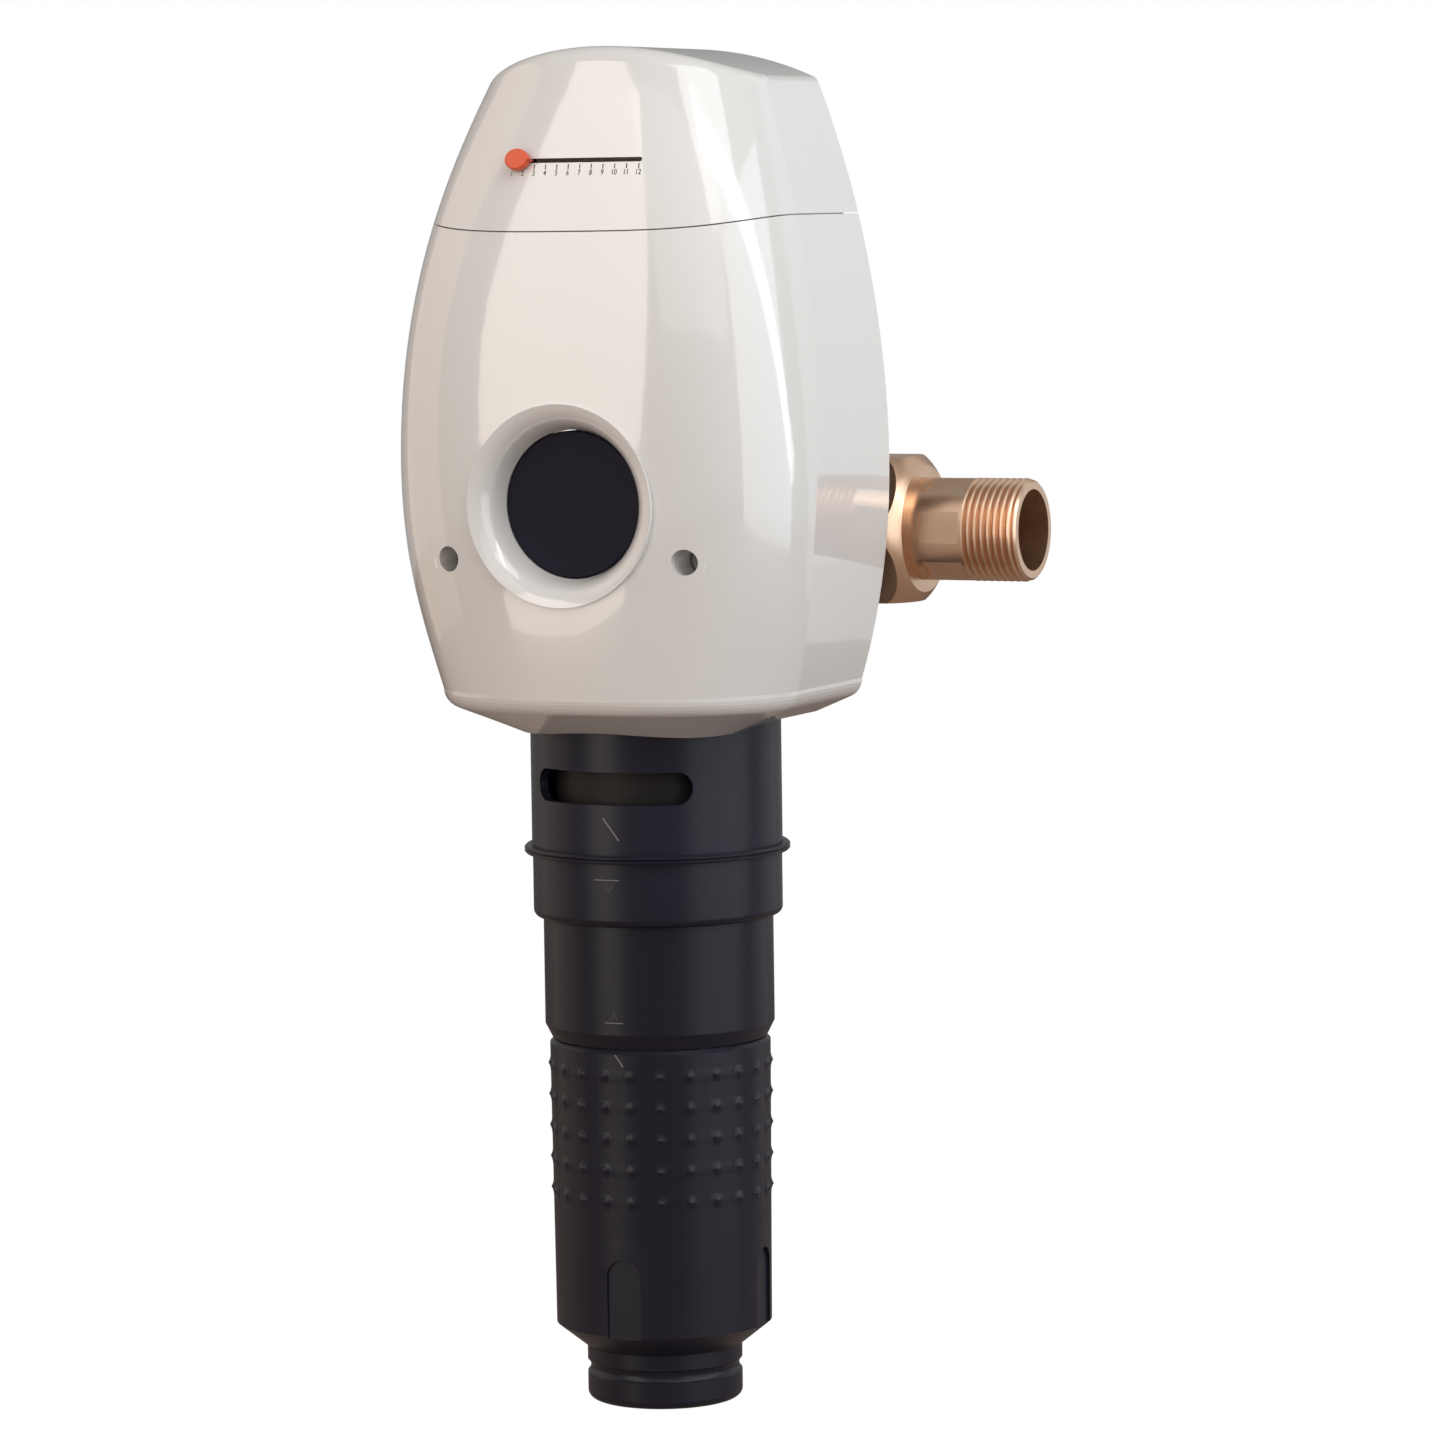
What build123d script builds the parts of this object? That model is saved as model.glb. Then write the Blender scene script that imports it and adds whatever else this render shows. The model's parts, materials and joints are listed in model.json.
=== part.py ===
from build123d import *
import os
from math import asin, cos, degrees, radians, sin, sqrt, tan

os.makedirs("parts", exist_ok=True)

# Water filter. Origin: centre of the drain spigot's open end. +Z up the filter's
# axis, +X along the pipe towards the outlet, -Y towards the front. Millimetres.

# Fits and walls
RUNNING_GAP = 0.05
LOOSE_GAP = 0.3
PRESS_GAP = 0.02
SLEEVE_WALL = 3.0

# Drain spigot
SPIGOT_RADIUS = 25.0
SPIGOT_WALL = 3.4
SPIGOT_ROUNDING = 2.6
SPIGOT_LENGTH = 18.0
SPIGOT_GROOVE_HEIGHT = 10.7
SPIGOT_GROOVE_WIDTH = 4.2
SPIGOT_GROOVE_DEPTH = 1.0
SPIGOT_NECK_DEPTH = 0.5
FUNNEL_RIM = 2.0
FUNNEL_HEIGHT = 9.0

# Grip sleeve
GRIP_FOOT_RADIUS = 34.75
GRIP_TOP_RADIUS = 35.5
GRIP_LENGTH = 99.4
GRIP_WALL = 3.3
GRIP_CHAMFER_HEIGHT = 7.2
GRIP_FLOOR = 3.0
GRIP_TOE = 0.4
GRIP_EDGE = 1.2
BUMP_RADIUS = 2.8
BUMP_HEIGHT = 0.8
BUMP_COUNT = 24
BUMP_ROWS = 5
BUMP_PITCH = 10.1
BUMP_TOP_INSET = 8.2
BUMP_TURN = 9.9
NOTCH_WIDTH = 11.5
NOTCH_HEIGHT = 32.3
NOTCH_DEPTH = 1.2
NOTCH_COUNT = 4
NOTCH_TURN = 3.5

# Housing sleeve, clamp ring and skirt
SEAM_GAP = 0.5
HOUSING_FOOT_RADIUS = 34.6
HOUSING_RADIUS = 36.9
HOUSING_CHAMFER_HEIGHT = 4.6
HOUSING_LENGTH = 59.6
HOUSING_LIP = 3.1
COLLAR_RADIUS = 40.0
COLLAR_LENGTH = 20.5
COLLAR_EDGE = 2.4
RING_RADIUS = 42.65
RING_THICKNESS = 2.6
RING_TAIL = 12.0
RING_GROOVE = 0.4
SKIRT_RADIUS = 40.2
SKIRT_LENGTH = 54.0
SKIRT_LIP = 3.5
SLOT_LEVEL = 21.1
SLOT_HEIGHT = 10.4
SLOT_HALF_ANGLE = 42.0

# Bowl and screen
BOWL_RADIUS = 33.8
BOWL_WALL = 3.0
BOWL_BRIM = 4.2
BOWL_NECK = 12.0
CHAMBER_HEIGHT = 4.0
BOWL_FLOOR = 3.0
SEAL_RADIUS = 1.05
CAGE_RADIUS = 28.8
CAGE_WALL = 1.6
MESH_THICKNESS = 0.3
CAGE_WINDOW_ROWS = 5
CAGE_WINDOW_COUNT = 8
CAGE_WINDOW_WIDTH = 15.0
CAGE_RIM = 5.0
SCREEN_LENGTH = 77.0

# Rotor and backwash valve
SHAFT_RADIUS = 8.0
SHAFT_BORE = 5.5
BUSH_WALL = 2.0
BUSH_LENGTH = 8.0
DISC_THICKNESS = 5.0
HUB_THICKNESS = 7.0
VALVE_PORT_RADIUS = 4.0
VALVE_PORT_CIRCLE = 21.0
NOZZLE_COUNT = 5
NOZZLE_TUBE_RADIUS = 3.4
NOZZLE_BORE = 2.2
NOZZLE_MOUTH_WIDTH = 7.0
NOZZLE_MOUTH_DEPTH = 4.0
NOZZLE_GAP = 0.6
SHAFT_OPENING = 1.5

# Filter head
NECK_ENTRY = 13.0
HEAD_RADIUS = 36.9
CHAMBER_RADIUS = 30.0
UPPER_CHAMBER_RADIUS = 27.0
DIVIDER_THICKNESS = 5.0
UPPER_CHAMBER_HEIGHT = 22.0
HEAD_ROOF = 5.0
GUIDE_RADIUS = 24.0
GUIDE_WALL = 2.4
GUIDE_FLANGE = 3.0
SPIDER_WIDTH = 3.0

# Flange and pipe
PIPE_LEVEL = 278.1
PIPE_SETBACK = 57.9
PIPE_REACH = 107.6
FLANGE_RADIUS = 42.0
FLANGE_THICKNESS = 8.0
HEAD_FLANGE_THICKNESS = 10.0
FLANGE_FACE = 34.0
GASKET_THICKNESS = 2.0
FLANGE_NECK_RADIUS = 26.0
BOLT_CIRCLE = 34.0
BOLT_RADIUS = 4.0
BOLT_HEAD_FLATS = 13.0
BOLT_HEAD_HEIGHT = 5.3
BOLT_CLEARANCE = 0.3
PORT_RADIUS = 8.0
PORT_OFFSET = 11.5
PORT_STEP = 11.0
BODY_TUBE_RADIUS = 19.5
BODY_BORE = 16.0
BODY_PARTITION = 3.0
UNION_THREAD_RADIUS = 20.9
UNION_THREAD_LENGTH = 13.0
UNION_FACE = 52.0
UNION_GASKET = 2.0
NUT_FLATS = 47.0
NUT_LENGTH = 26.0
NUT_END = 70.3
NUT_DOME_LENGTH = 8.4
NUT_DOME_BULGE = 0.7
NUT_FACE_RADIUS = 20.5
NUT_LIP = 6.5
TAIL_BODY_RADIUS = 16.5
TAIL_COLLAR_RADIUS = 19.4
TAIL_BORE = 13.1
TAIL_FLATS = 31.4
TAIL_FLATS_START = 74.4
TAIL_FLATS_LENGTH = 13.4
TAIL_FLATS_TURN = 25.0
THREAD_CREST = 16.62
THREAD_DEPTH = 1.3
THREAD_PITCH = 2.309
THREAD_TURNS = 8
THREAD_FLAT = 0.45
THREAD_CHAMFER = 1.2

# Hood
HOOD_WALL = 3.0
HOOD_REAR = 28.0
HOOD_TOP = 433.2
HOOD_TOP_ARC = 114.0
HOOD_WIDEST = 300.0
HOOD_HALF_WIDTH = 70.4
HOOD_SIDE_ARC_UP = 335.0
HOOD_SIDE_ARC_DOWN = 230.0
HOOD_DEPTH = 68.2
HOOD_FRONT_ARC_UP = 309.0
HOOD_FRONT_ARC_DOWN = 620.0
HOOD_CREASE_BACK = 15.0
HOOD_TURN_LEVEL = 232.0
HOOD_TURN_RADIUS = 6.5
HOOD_TURN_ANGLE = 67.0
HOOD_TURN_STEPS = 6
HOOD_FLOOR_REACH = 24.0
HOOD_MOUTH_RADIUS = 44.0
TOP_FRONT_ROUNDING = 8.0
TOP_SIDE_ROUNDING = 3.5

# Plan of the hood at each height: distance of the side crease in front of the
# filter's axis, and fullness of the front curve (2 is an ellipse).
HOOD_PLAN = [
    (HOOD_TURN_LEVEL, 23.0, 2.65),
    (262.0, 28.5, 2.75),
    (HOOD_WIDEST, 28.5, 3.1),
    (340.0, 23.5, 3.4),
    (376.0, 20.3, 3.25),
    (405.0, 16.5, 2.8),
    (445.0, 13.0, 2.5),
]
FRONT_POINTS = 8

# Split between hood and lid
SPLIT_LEVEL = 380.2
SPLIT_DIP = 6.6
SPLIT_STRAIGHT_END = -20.0
SPLIT_GAP = 0.4
TONGUE_DEPTH = 9.0
TONGUE_WALL = 1.8
LID_TRAVEL_EDGE = 0.6

# Recess, cap and hood screws
RECESS_LEVEL = 291.6
CAP_RADIUS = 22.9
CAP_FACE = 57.2
CAP_THICKNESS = 5.0
CAP_SHANK_RADIUS = 6.5
CAP_HUB_RADIUS = 9.0
CAP_HUB_FACE = 44.0
CAP_SHANK_END = 35.0
RECESS_CREST_RADIUS = 31.5
RECESS_CREST_DEPTH = 68.0
RECESS_RIM_RADIUS = 37.0
RECESS_RIM_FOOT = 61.0
BOSS_RADIUS = 14.0
BOSS_FACE = 43.5
BRACKET_BACK = 38.0
BRACKET_THICKNESS = 4.0
BRACKET_HEIGHT = 16.0
SCREW_SPACING = 81.2
SCREW_LEVEL = 274.5
SCREW_WELL_RADIUS = 4.0
SCREW_WELL_WALL = 2.2
SCREW_WELL_END = 44.5
SCREW_RADIUS = 2.0
SCREW_HEAD_RADIUS = 3.5
SCREW_HEAD_HEIGHT = 2.6
SCREW_LENGTH = 10.0

# Scale and date pointer
SCALE_LEVEL = 397.8
SCALE_SLOT_LEFT = -21.0
SCALE_SLOT_RIGHT = 22.6
SCALE_SLOT_HEIGHT = 1.4
POINTER_REST = -19.2
POINTER_LENGTH = 7.8
POINTER_HEIGHT = 6.7
POINTER_TIP = 1.3
POINTER_THICKNESS = 2.4
POINTER_ROUNDING = 0.5
POINTER_STEM_WIDTH = 3.0
POINTER_STEM_HEIGHT = 1.0
CLIP_SIZE = 6.0
CLIP_THICKNESS = 1.2
CLIP_SETBACK = 2.0

# Levels worked out from the sizes above
grip_foot = SPIGOT_LENGTH
grip_shoulder = grip_foot + GRIP_CHAMFER_HEIGHT
grip_top = grip_foot + GRIP_LENGTH
grip_lip = SPIGOT_RADIUS + LOOSE_GAP
grip_slope = GRIP_CHAMFER_HEIGHT / (GRIP_FOOT_RADIUS - grip_lip - GRIP_TOE)
grip_bore = GRIP_TOP_RADIUS - GRIP_WALL - (GRIP_TOP_RADIUS - GRIP_FOOT_RADIUS)
housing_foot = grip_top + SEAM_GAP
housing_top = housing_foot + HOUSING_LENGTH
ring_top = housing_top + RING_THICKNESS
skirt_top = ring_top + SKIRT_LENGTH
skirt_bore = SKIRT_RADIUS - SLEEVE_WALL
bowl_foot = housing_foot + HOUSING_LIP + LOOSE_GAP
bowl_bore = BOWL_RADIUS - BOWL_WALL
seat_foot = bowl_foot - LOOSE_GAP - HOUSING_LIP + 1.2
seat_top = seat_foot + DISC_THICKNESS
chamber_top = seat_top + CHAMBER_HEIGHT
floor_top = chamber_top + BOWL_FLOOR
disc_top = seat_foot - RUNNING_GAP
disc_foot = disc_top - DISC_THICKNESS
hub_top = disc_foot
hub_foot = hub_top - HUB_THICKNESS
brim_foot = ring_top + SKIRT_LIP + LOOSE_GAP
neck_foot = floor_top + SCREEN_LENGTH
bowl_top = neck_foot + BOWL_NECK
screen_top = floor_top + SCREEN_LENGTH
guide_foot = screen_top
divider_foot = PIPE_LEVEL - DIVIDER_THICKNESS / 2
divider_top = divider_foot + DIVIDER_THICKNESS
chamber_roof = divider_top + UPPER_CHAMBER_HEIGHT
head_top = chamber_roof + HEAD_ROOF
shaft_foot = hub_foot + HUB_THICKNESS / 2
shaft_top = guide_foot + BUSH_LENGTH + 6.0
screw_x = SCREW_SPACING / 2

PIPE_AXIS = Axis((0, PIPE_SETBACK, PIPE_LEVEL), (1, 0, 0))
PIPE_PLANE = Plane(origin=(0, PIPE_SETBACK, PIPE_LEVEL), x_dir=(1, 0, 0), z_dir=(0, 0, 1))
RECESS_AXIS = Axis((0, 0, RECESS_LEVEL), (0, 1, 0))
RECESS_PLANE = Plane(origin=(0, 0, RECESS_LEVEL), x_dir=(1, 0, 0), z_dir=(0, 0, 1))


def facing(y, z=0.0, x=0.0):
    """Plane across the front-to-back direction, its normal towards the rear."""
    return Plane(origin=(x, y, z), x_dir=(-1, 0, 0), z_dir=(0, 1, 0))


def outline(points):
    """Closed straight-sided face in the current sketch."""
    Polygon(*points, align=None)


def finish(piece, name):
    """Label a finished piece and write it."""
    piece.part.label = name
    export_step(piece.part, f"parts/{name}.step")


# Drain spigot: a push-fit pipe end that opens into a funnel inside the grip
spigot_bore = SPIGOT_RADIUS - SPIGOT_WALL
groove_foot = SPIGOT_GROOVE_HEIGHT - SPIGOT_GROOVE_WIDTH / 2
groove_top = SPIGOT_GROOVE_HEIGHT + SPIGOT_GROOVE_WIDTH / 2
groove_radius = SPIGOT_RADIUS - SPIGOT_GROOVE_DEPTH
spigot_neck_foot = SPIGOT_LENGTH - LOOSE_GAP
spigot_neck_radius = SPIGOT_RADIUS - SPIGOT_NECK_DEPTH
funnel_radius = grip_bore - LOOSE_GAP
funnel_foot = grip_foot + GRIP_FLOOR + LOOSE_GAP
funnel_bore = funnel_radius - FUNNEL_RIM
funnel_shoulder = funnel_foot + (funnel_radius - spigot_neck_radius) * grip_slope
with BuildPart() as drain_spigot:
    with BuildSketch(Plane.XZ):
        with BuildLine():
            Polyline(
                (SPIGOT_RADIUS, SPIGOT_ROUNDING),
                (SPIGOT_RADIUS, groove_foot),
            )
            ThreePointArc(
                (SPIGOT_RADIUS, groove_foot),
                (groove_radius, SPIGOT_GROOVE_HEIGHT),
                (SPIGOT_RADIUS, groove_top),
            )
            Polyline(
                (SPIGOT_RADIUS, groove_top),
                (SPIGOT_RADIUS, spigot_neck_foot),
                (spigot_neck_radius, spigot_neck_foot),
                (spigot_neck_radius, funnel_foot),
                (funnel_radius, funnel_shoulder),
                (funnel_radius, funnel_foot + FUNNEL_HEIGHT),
                (funnel_bore, funnel_foot + FUNNEL_HEIGHT),
                (spigot_bore, funnel_foot + FUNNEL_RIM),
                (spigot_bore, 0),
                (SPIGOT_RADIUS - SPIGOT_ROUNDING, 0),
            )
            RadiusArc(
                (SPIGOT_RADIUS - SPIGOT_ROUNDING, 0),
                (SPIGOT_RADIUS, SPIGOT_ROUNDING),
                -SPIGOT_ROUNDING,
            )
        make_face()
    revolve(axis=Axis.Z)
finish(drain_spigot, "drain_spigot")


# Grip sleeve: bumps around the upper half, four shallow notches at the foot
def grip_radius(z):
    """Outer radius of the slightly tapered grip at a height."""
    share = (z - grip_shoulder) / (grip_top - grip_shoulder)
    return GRIP_FOOT_RADIUS + (GRIP_TOP_RADIUS - GRIP_FOOT_RADIUS) * share


bump_sphere = (BUMP_RADIUS**2 + BUMP_HEIGHT**2) / (2 * BUMP_HEIGHT)
with BuildPart() as bump:
    with BuildSketch(Plane.XZ):
        with BuildLine():
            Line((0, -1), (BUMP_RADIUS, -1))
            Line((BUMP_RADIUS, -1), (BUMP_RADIUS, 0))
            RadiusArc((BUMP_RADIUS, 0), (0, BUMP_HEIGHT), bump_sphere)
            Line((0, BUMP_HEIGHT), (0, -1))
        make_face()
    revolve(axis=Axis.Z)

bump_spots = []
for row in range(BUMP_ROWS):
    level = grip_top - BUMP_TOP_INSET - row * BUMP_PITCH
    reach = grip_radius(level)
    for k in range(BUMP_COUNT):
        turn = radians(BUMP_TURN + 360 / BUMP_COUNT * k - 90)
        outward = (cos(turn), sin(turn), 0)
        bump_spots.append(Plane(origin=(reach * cos(turn), reach * sin(turn), level), z_dir=outward))

notch_angles = [NOTCH_TURN + 360 / NOTCH_COUNT * k for k in range(NOTCH_COUNT)]
with BuildPart() as grip_sleeve:
    with BuildSketch(Plane.XZ):
        outline([
            (grip_lip, grip_foot),
            (grip_lip + GRIP_TOE, grip_foot),
            (GRIP_FOOT_RADIUS, grip_shoulder),
            (GRIP_TOP_RADIUS, grip_top - GRIP_EDGE),
            (GRIP_TOP_RADIUS - GRIP_EDGE, grip_top),
            (grip_bore, grip_top),
            (grip_bore, grip_foot + GRIP_FLOOR + (grip_bore - grip_lip) * grip_slope),
            (grip_lip, grip_foot + GRIP_FLOOR),
        ])
    revolve(axis=Axis.Z)
    for turn in notch_angles:
        notch_plane = Plane(
            origin=(0, 0, grip_foot),
            x_dir=(-sin(radians(turn - 90)), cos(radians(turn - 90)), 0),
            z_dir=(cos(radians(turn - 90)), sin(radians(turn - 90)), 0),
        )
        straight = NOTCH_HEIGHT - NOTCH_WIDTH / 2
        with BuildSketch(notch_plane.offset(GRIP_FOOT_RADIUS - NOTCH_DEPTH)):
            with Locations((0, straight / 2)):
                Rectangle(NOTCH_WIDTH, straight)
            with Locations((0, straight)):
                Circle(NOTCH_WIDTH / 2)
        extrude(amount=GRIP_TOP_RADIUS, mode=Mode.SUBTRACT)
    with Locations(*bump_spots):
        add(bump.part)
finish(grip_sleeve, "grip_sleeve")

# Housing sleeve: narrow lower part, wider collar under the clamp ring
collar_foot = housing_top - COLLAR_LENGTH
housing_bore = BOWL_RADIUS + LOOSE_GAP
collar_bore = COLLAR_RADIUS - SLEEVE_WALL
seat_radius = bowl_bore - RUNNING_GAP
with BuildPart() as housing_sleeve:
    with BuildSketch(Plane.XZ):
        outline([
            (seat_radius + LOOSE_GAP, housing_foot),
            (HOUSING_FOOT_RADIUS, housing_foot),
            (HOUSING_RADIUS, housing_foot + HOUSING_CHAMFER_HEIGHT),
            (HOUSING_RADIUS, collar_foot),
            (COLLAR_RADIUS, collar_foot),
            (COLLAR_RADIUS, housing_top),
            (collar_bore, housing_top),
            (collar_bore, collar_foot + SLEEVE_WALL),
            (housing_bore, collar_foot + SLEEVE_WALL),
            (housing_bore, housing_foot + HOUSING_LIP),
            (seat_radius + LOOSE_GAP, housing_foot + HOUSING_LIP),
        ])
    revolve(axis=Axis.Z)
    collar_rims = edges().filter_by(lambda edge: edge.bounding_box().max.X > COLLAR_RADIUS - RUNNING_GAP)
    fillet(collar_rims.group_by(Axis.Z)[0].filter_by(GeomType.CIRCLE), COLLAR_EDGE)
finish(housing_sleeve, "housing_sleeve")

# Clamp ring: thin rim outside, tail inside the collar
ring_bore = BOWL_RADIUS + LOOSE_GAP
ring_tail_radius = collar_bore - RUNNING_GAP
ring_rounding = RING_THICKNESS / 4
ring_middle = (housing_top + ring_top) / 2
with BuildPart() as clamp_ring:
    with BuildSketch(Plane.XZ):
        outline([
            (ring_bore, housing_top - RING_TAIL),
            (ring_tail_radius, housing_top - RING_TAIL),
            (ring_tail_radius, housing_top),
            (RING_RADIUS - ring_rounding, housing_top),
            (RING_RADIUS, housing_top + ring_rounding),
            (RING_RADIUS, ring_middle - RING_GROOVE),
            (RING_RADIUS - RING_GROOVE, ring_middle),
            (RING_RADIUS, ring_middle + RING_GROOVE),
            (RING_RADIUS, ring_top - ring_rounding),
            (RING_RADIUS - ring_rounding, ring_top),
            (ring_bore, ring_top),
        ])
    revolve(axis=Axis.Z)
finish(clamp_ring, "clamp_ring")

# Skirt with the long slot in front
slot_level = ring_top + SLOT_LEVEL
slot_end = SLOT_HEIGHT / 2
slot_turn = SLOT_HALF_ANGLE - degrees(asin(slot_end / SKIRT_RADIUS))
with BuildPart() as head_skirt:
    with BuildSketch(Plane.XZ):
        outline([
            (BOWL_RADIUS + LOOSE_GAP, ring_top),
            (SKIRT_RADIUS, ring_top),
            (SKIRT_RADIUS, skirt_top),
            (skirt_bore, skirt_top),
            (skirt_bore, ring_top + SKIRT_LIP),
            (BOWL_RADIUS + LOOSE_GAP, ring_top + SKIRT_LIP),
        ])
    revolve(axis=Axis.Z)
    start = -90 - slot_turn
    slot_start = Plane(
        origin=(0, 0, slot_level),
        x_dir=(cos(radians(start)), sin(radians(start)), 0),
        z_dir=(sin(radians(start)), -cos(radians(start)), 0),
    )
    with BuildSketch(slot_start):
        with Locations((SKIRT_RADIUS, 0)):
            Rectangle(SLEEVE_WALL * 3, SLOT_HEIGHT)
    revolve(axis=Axis.Z, revolution_arc=2 * slot_turn, mode=Mode.SUBTRACT)
    for turn in (-90 - slot_turn, -90 + slot_turn):
        radial = Plane(
            origin=(0, 0, slot_level),
            x_dir=(0, 0, 1),
            z_dir=(cos(radians(turn)), sin(radians(turn)), 0),
        )
        with BuildSketch(radial.offset(skirt_bore - SLEEVE_WALL)):
            Circle(slot_end)
        extrude(amount=SLEEVE_WALL * 3, mode=Mode.SUBTRACT)
finish(head_skirt, "head_skirt")

# Bowl: carries the screen and closes the valve chamber
brim_radius = skirt_bore - RUNNING_GAP
bush_outer = SHAFT_RADIUS + RUNNING_GAP + BUSH_WALL
seal_centre = BOWL_RADIUS + RUNNING_GAP - SEAL_RADIUS
seal_level = bowl_top - BOWL_NECK / 2
bowl_groove = seal_centre - SEAL_RADIUS
with BuildPart() as bowl:
    with BuildSketch(Plane.XZ):
        outline([
            (bowl_bore, bowl_foot),
            (BOWL_RADIUS, bowl_foot),
            (BOWL_RADIUS, brim_foot),
            (brim_radius, brim_foot),
            (brim_radius, brim_foot + BOWL_BRIM),
            (BOWL_RADIUS, brim_foot + BOWL_BRIM),
            (BOWL_RADIUS, seal_level - SEAL_RADIUS),
            (bowl_groove, seal_level - SEAL_RADIUS),
            (bowl_groove, seal_level + SEAL_RADIUS),
            (BOWL_RADIUS, seal_level + SEAL_RADIUS),
            (BOWL_RADIUS, bowl_top),
            (bowl_bore, bowl_top),
            (bowl_bore, floor_top),
            (bush_outer, floor_top),
            (bush_outer, chamber_top),
            (bowl_bore, chamber_top),
        ])
    revolve(axis=Axis.Z)
finish(bowl, "bowl")

with BuildPart() as bowl_seal:
    with BuildSketch(Plane.XZ):
        with Locations((seal_centre, seal_level)):
            Circle(SEAL_RADIUS)
    revolve(axis=Axis.Z)
finish(bowl_seal, "bowl_seal")

# Screen cage and mesh
cage_bore = CAGE_RADIUS - CAGE_WALL
window_band = SCREEN_LENGTH - 2 * CAGE_RIM
window_pitch = window_band / CAGE_WINDOW_ROWS
cage_window = window_pitch - CAGE_WALL * 1.5
with BuildPart() as screen_cage:
    with BuildSketch(Plane.XY.offset(floor_top)):
        Circle(CAGE_RADIUS)
        Circle(cage_bore, mode=Mode.SUBTRACT)
    extrude(amount=SCREEN_LENGTH)
    for row in range(CAGE_WINDOW_ROWS):
        level = floor_top + CAGE_RIM + window_pitch * (row + 0.5)
        for k in range(CAGE_WINDOW_COUNT // 2):
            turn = 360 / CAGE_WINDOW_COUNT * k
            with Locations(Location((0, 0, level), (0, 0, turn))):
                Box(3 * CAGE_RADIUS, CAGE_WINDOW_WIDTH, cage_window, mode=Mode.SUBTRACT)
finish(screen_cage, "screen_cage")

mesh_outer = cage_bore - PRESS_GAP
with BuildPart() as filter_screen:
    with BuildSketch(Plane.XY.offset(floor_top)):
        Circle(mesh_outer)
        Circle(mesh_outer - MESH_THICKNESS, mode=Mode.SUBTRACT)
    extrude(amount=SCREEN_LENGTH)
finish(filter_screen, "filter_screen")

# Bushes: the lower one in the bowl's floor, the upper one in the spider
with BuildPart() as lower_bush:
    with BuildSketch(Plane.XY.offset(chamber_top)):
        Circle(bush_outer - PRESS_GAP)
        Circle(SHAFT_RADIUS + RUNNING_GAP, mode=Mode.SUBTRACT)
    extrude(amount=BOWL_FLOOR)
    with BuildSketch(Plane.XY.offset(floor_top)):
        Circle(bush_outer + BUSH_WALL)
        Circle(SHAFT_RADIUS + RUNNING_GAP, mode=Mode.SUBTRACT)
    extrude(amount=BUSH_LENGTH - BOWL_FLOOR)
finish(lower_bush, "lower_bush")

with BuildPart() as upper_bush:
    with BuildSketch(Plane.XY.offset(guide_foot)):
        Circle(bush_outer - PRESS_GAP)
        Circle(SHAFT_RADIUS + RUNNING_GAP, mode=Mode.SUBTRACT)
    extrude(amount=BUSH_LENGTH)
finish(upper_bush, "upper_bush")

# Flow guide: tube from the upper chamber to the screen, with a spider
guide_top = divider_top + GUIDE_FLANGE
guide_bore = GUIDE_RADIUS - GUIDE_WALL
with BuildPart() as flow_guide:
    with BuildSketch(Plane.XZ):
        outline([
            (guide_bore, guide_foot),
            (CAGE_RADIUS, guide_foot),
            (CAGE_RADIUS, guide_foot + GUIDE_FLANGE),
            (GUIDE_RADIUS, guide_foot + GUIDE_FLANGE),
            (GUIDE_RADIUS, guide_top),
            (guide_bore, guide_top),
        ])
    revolve(axis=Axis.Z)
    with BuildSketch(Plane.XY.offset(guide_foot)):
        Circle(bush_outer + BUSH_WALL)
        for k in range(3):
            with Locations(Location((0, 0, 0), (0, 0, 60 * k))):
                Rectangle(2 * guide_bore + GUIDE_WALL, SPIDER_WIDTH)
        Circle(bush_outer, mode=Mode.SUBTRACT)
    extrude(amount=BUSH_LENGTH)
finish(flow_guide, "flow_guide")

# Rotor: hollow shaft, closed at both ends, open into the valve chamber
opening_level = seat_top + CHAMBER_HEIGHT / 2
with BuildPart() as rotor_shaft:
    with BuildSketch(Plane.XZ):
        outline([
            (0, shaft_foot),
            (SHAFT_RADIUS, shaft_foot),
            (SHAFT_RADIUS, shaft_top),
            (0, shaft_top),
            (0, shaft_top - BUSH_LENGTH),
            (SHAFT_BORE, shaft_top - BUSH_LENGTH),
            (SHAFT_BORE, seat_top),
            (0, seat_top),
        ])
    revolve(axis=Axis.Z)
    for k in range(2):
        with Locations(Location((0, 0, opening_level), (0, 90, 90 * k))):
            Cylinder(SHAFT_OPENING, 3 * SHAFT_RADIUS, mode=Mode.SUBTRACT)
    for k in range(NOZZLE_COUNT):
        level = floor_top + CAGE_RIM + window_band / NOZZLE_COUNT * (k + 0.5)
        with Locations(Location((0, 0, level), (0, 90, 0))):
            Cylinder(NOZZLE_BORE, 3 * SHAFT_RADIUS, mode=Mode.SUBTRACT)
finish(rotor_shaft, "rotor_shaft")

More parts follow.
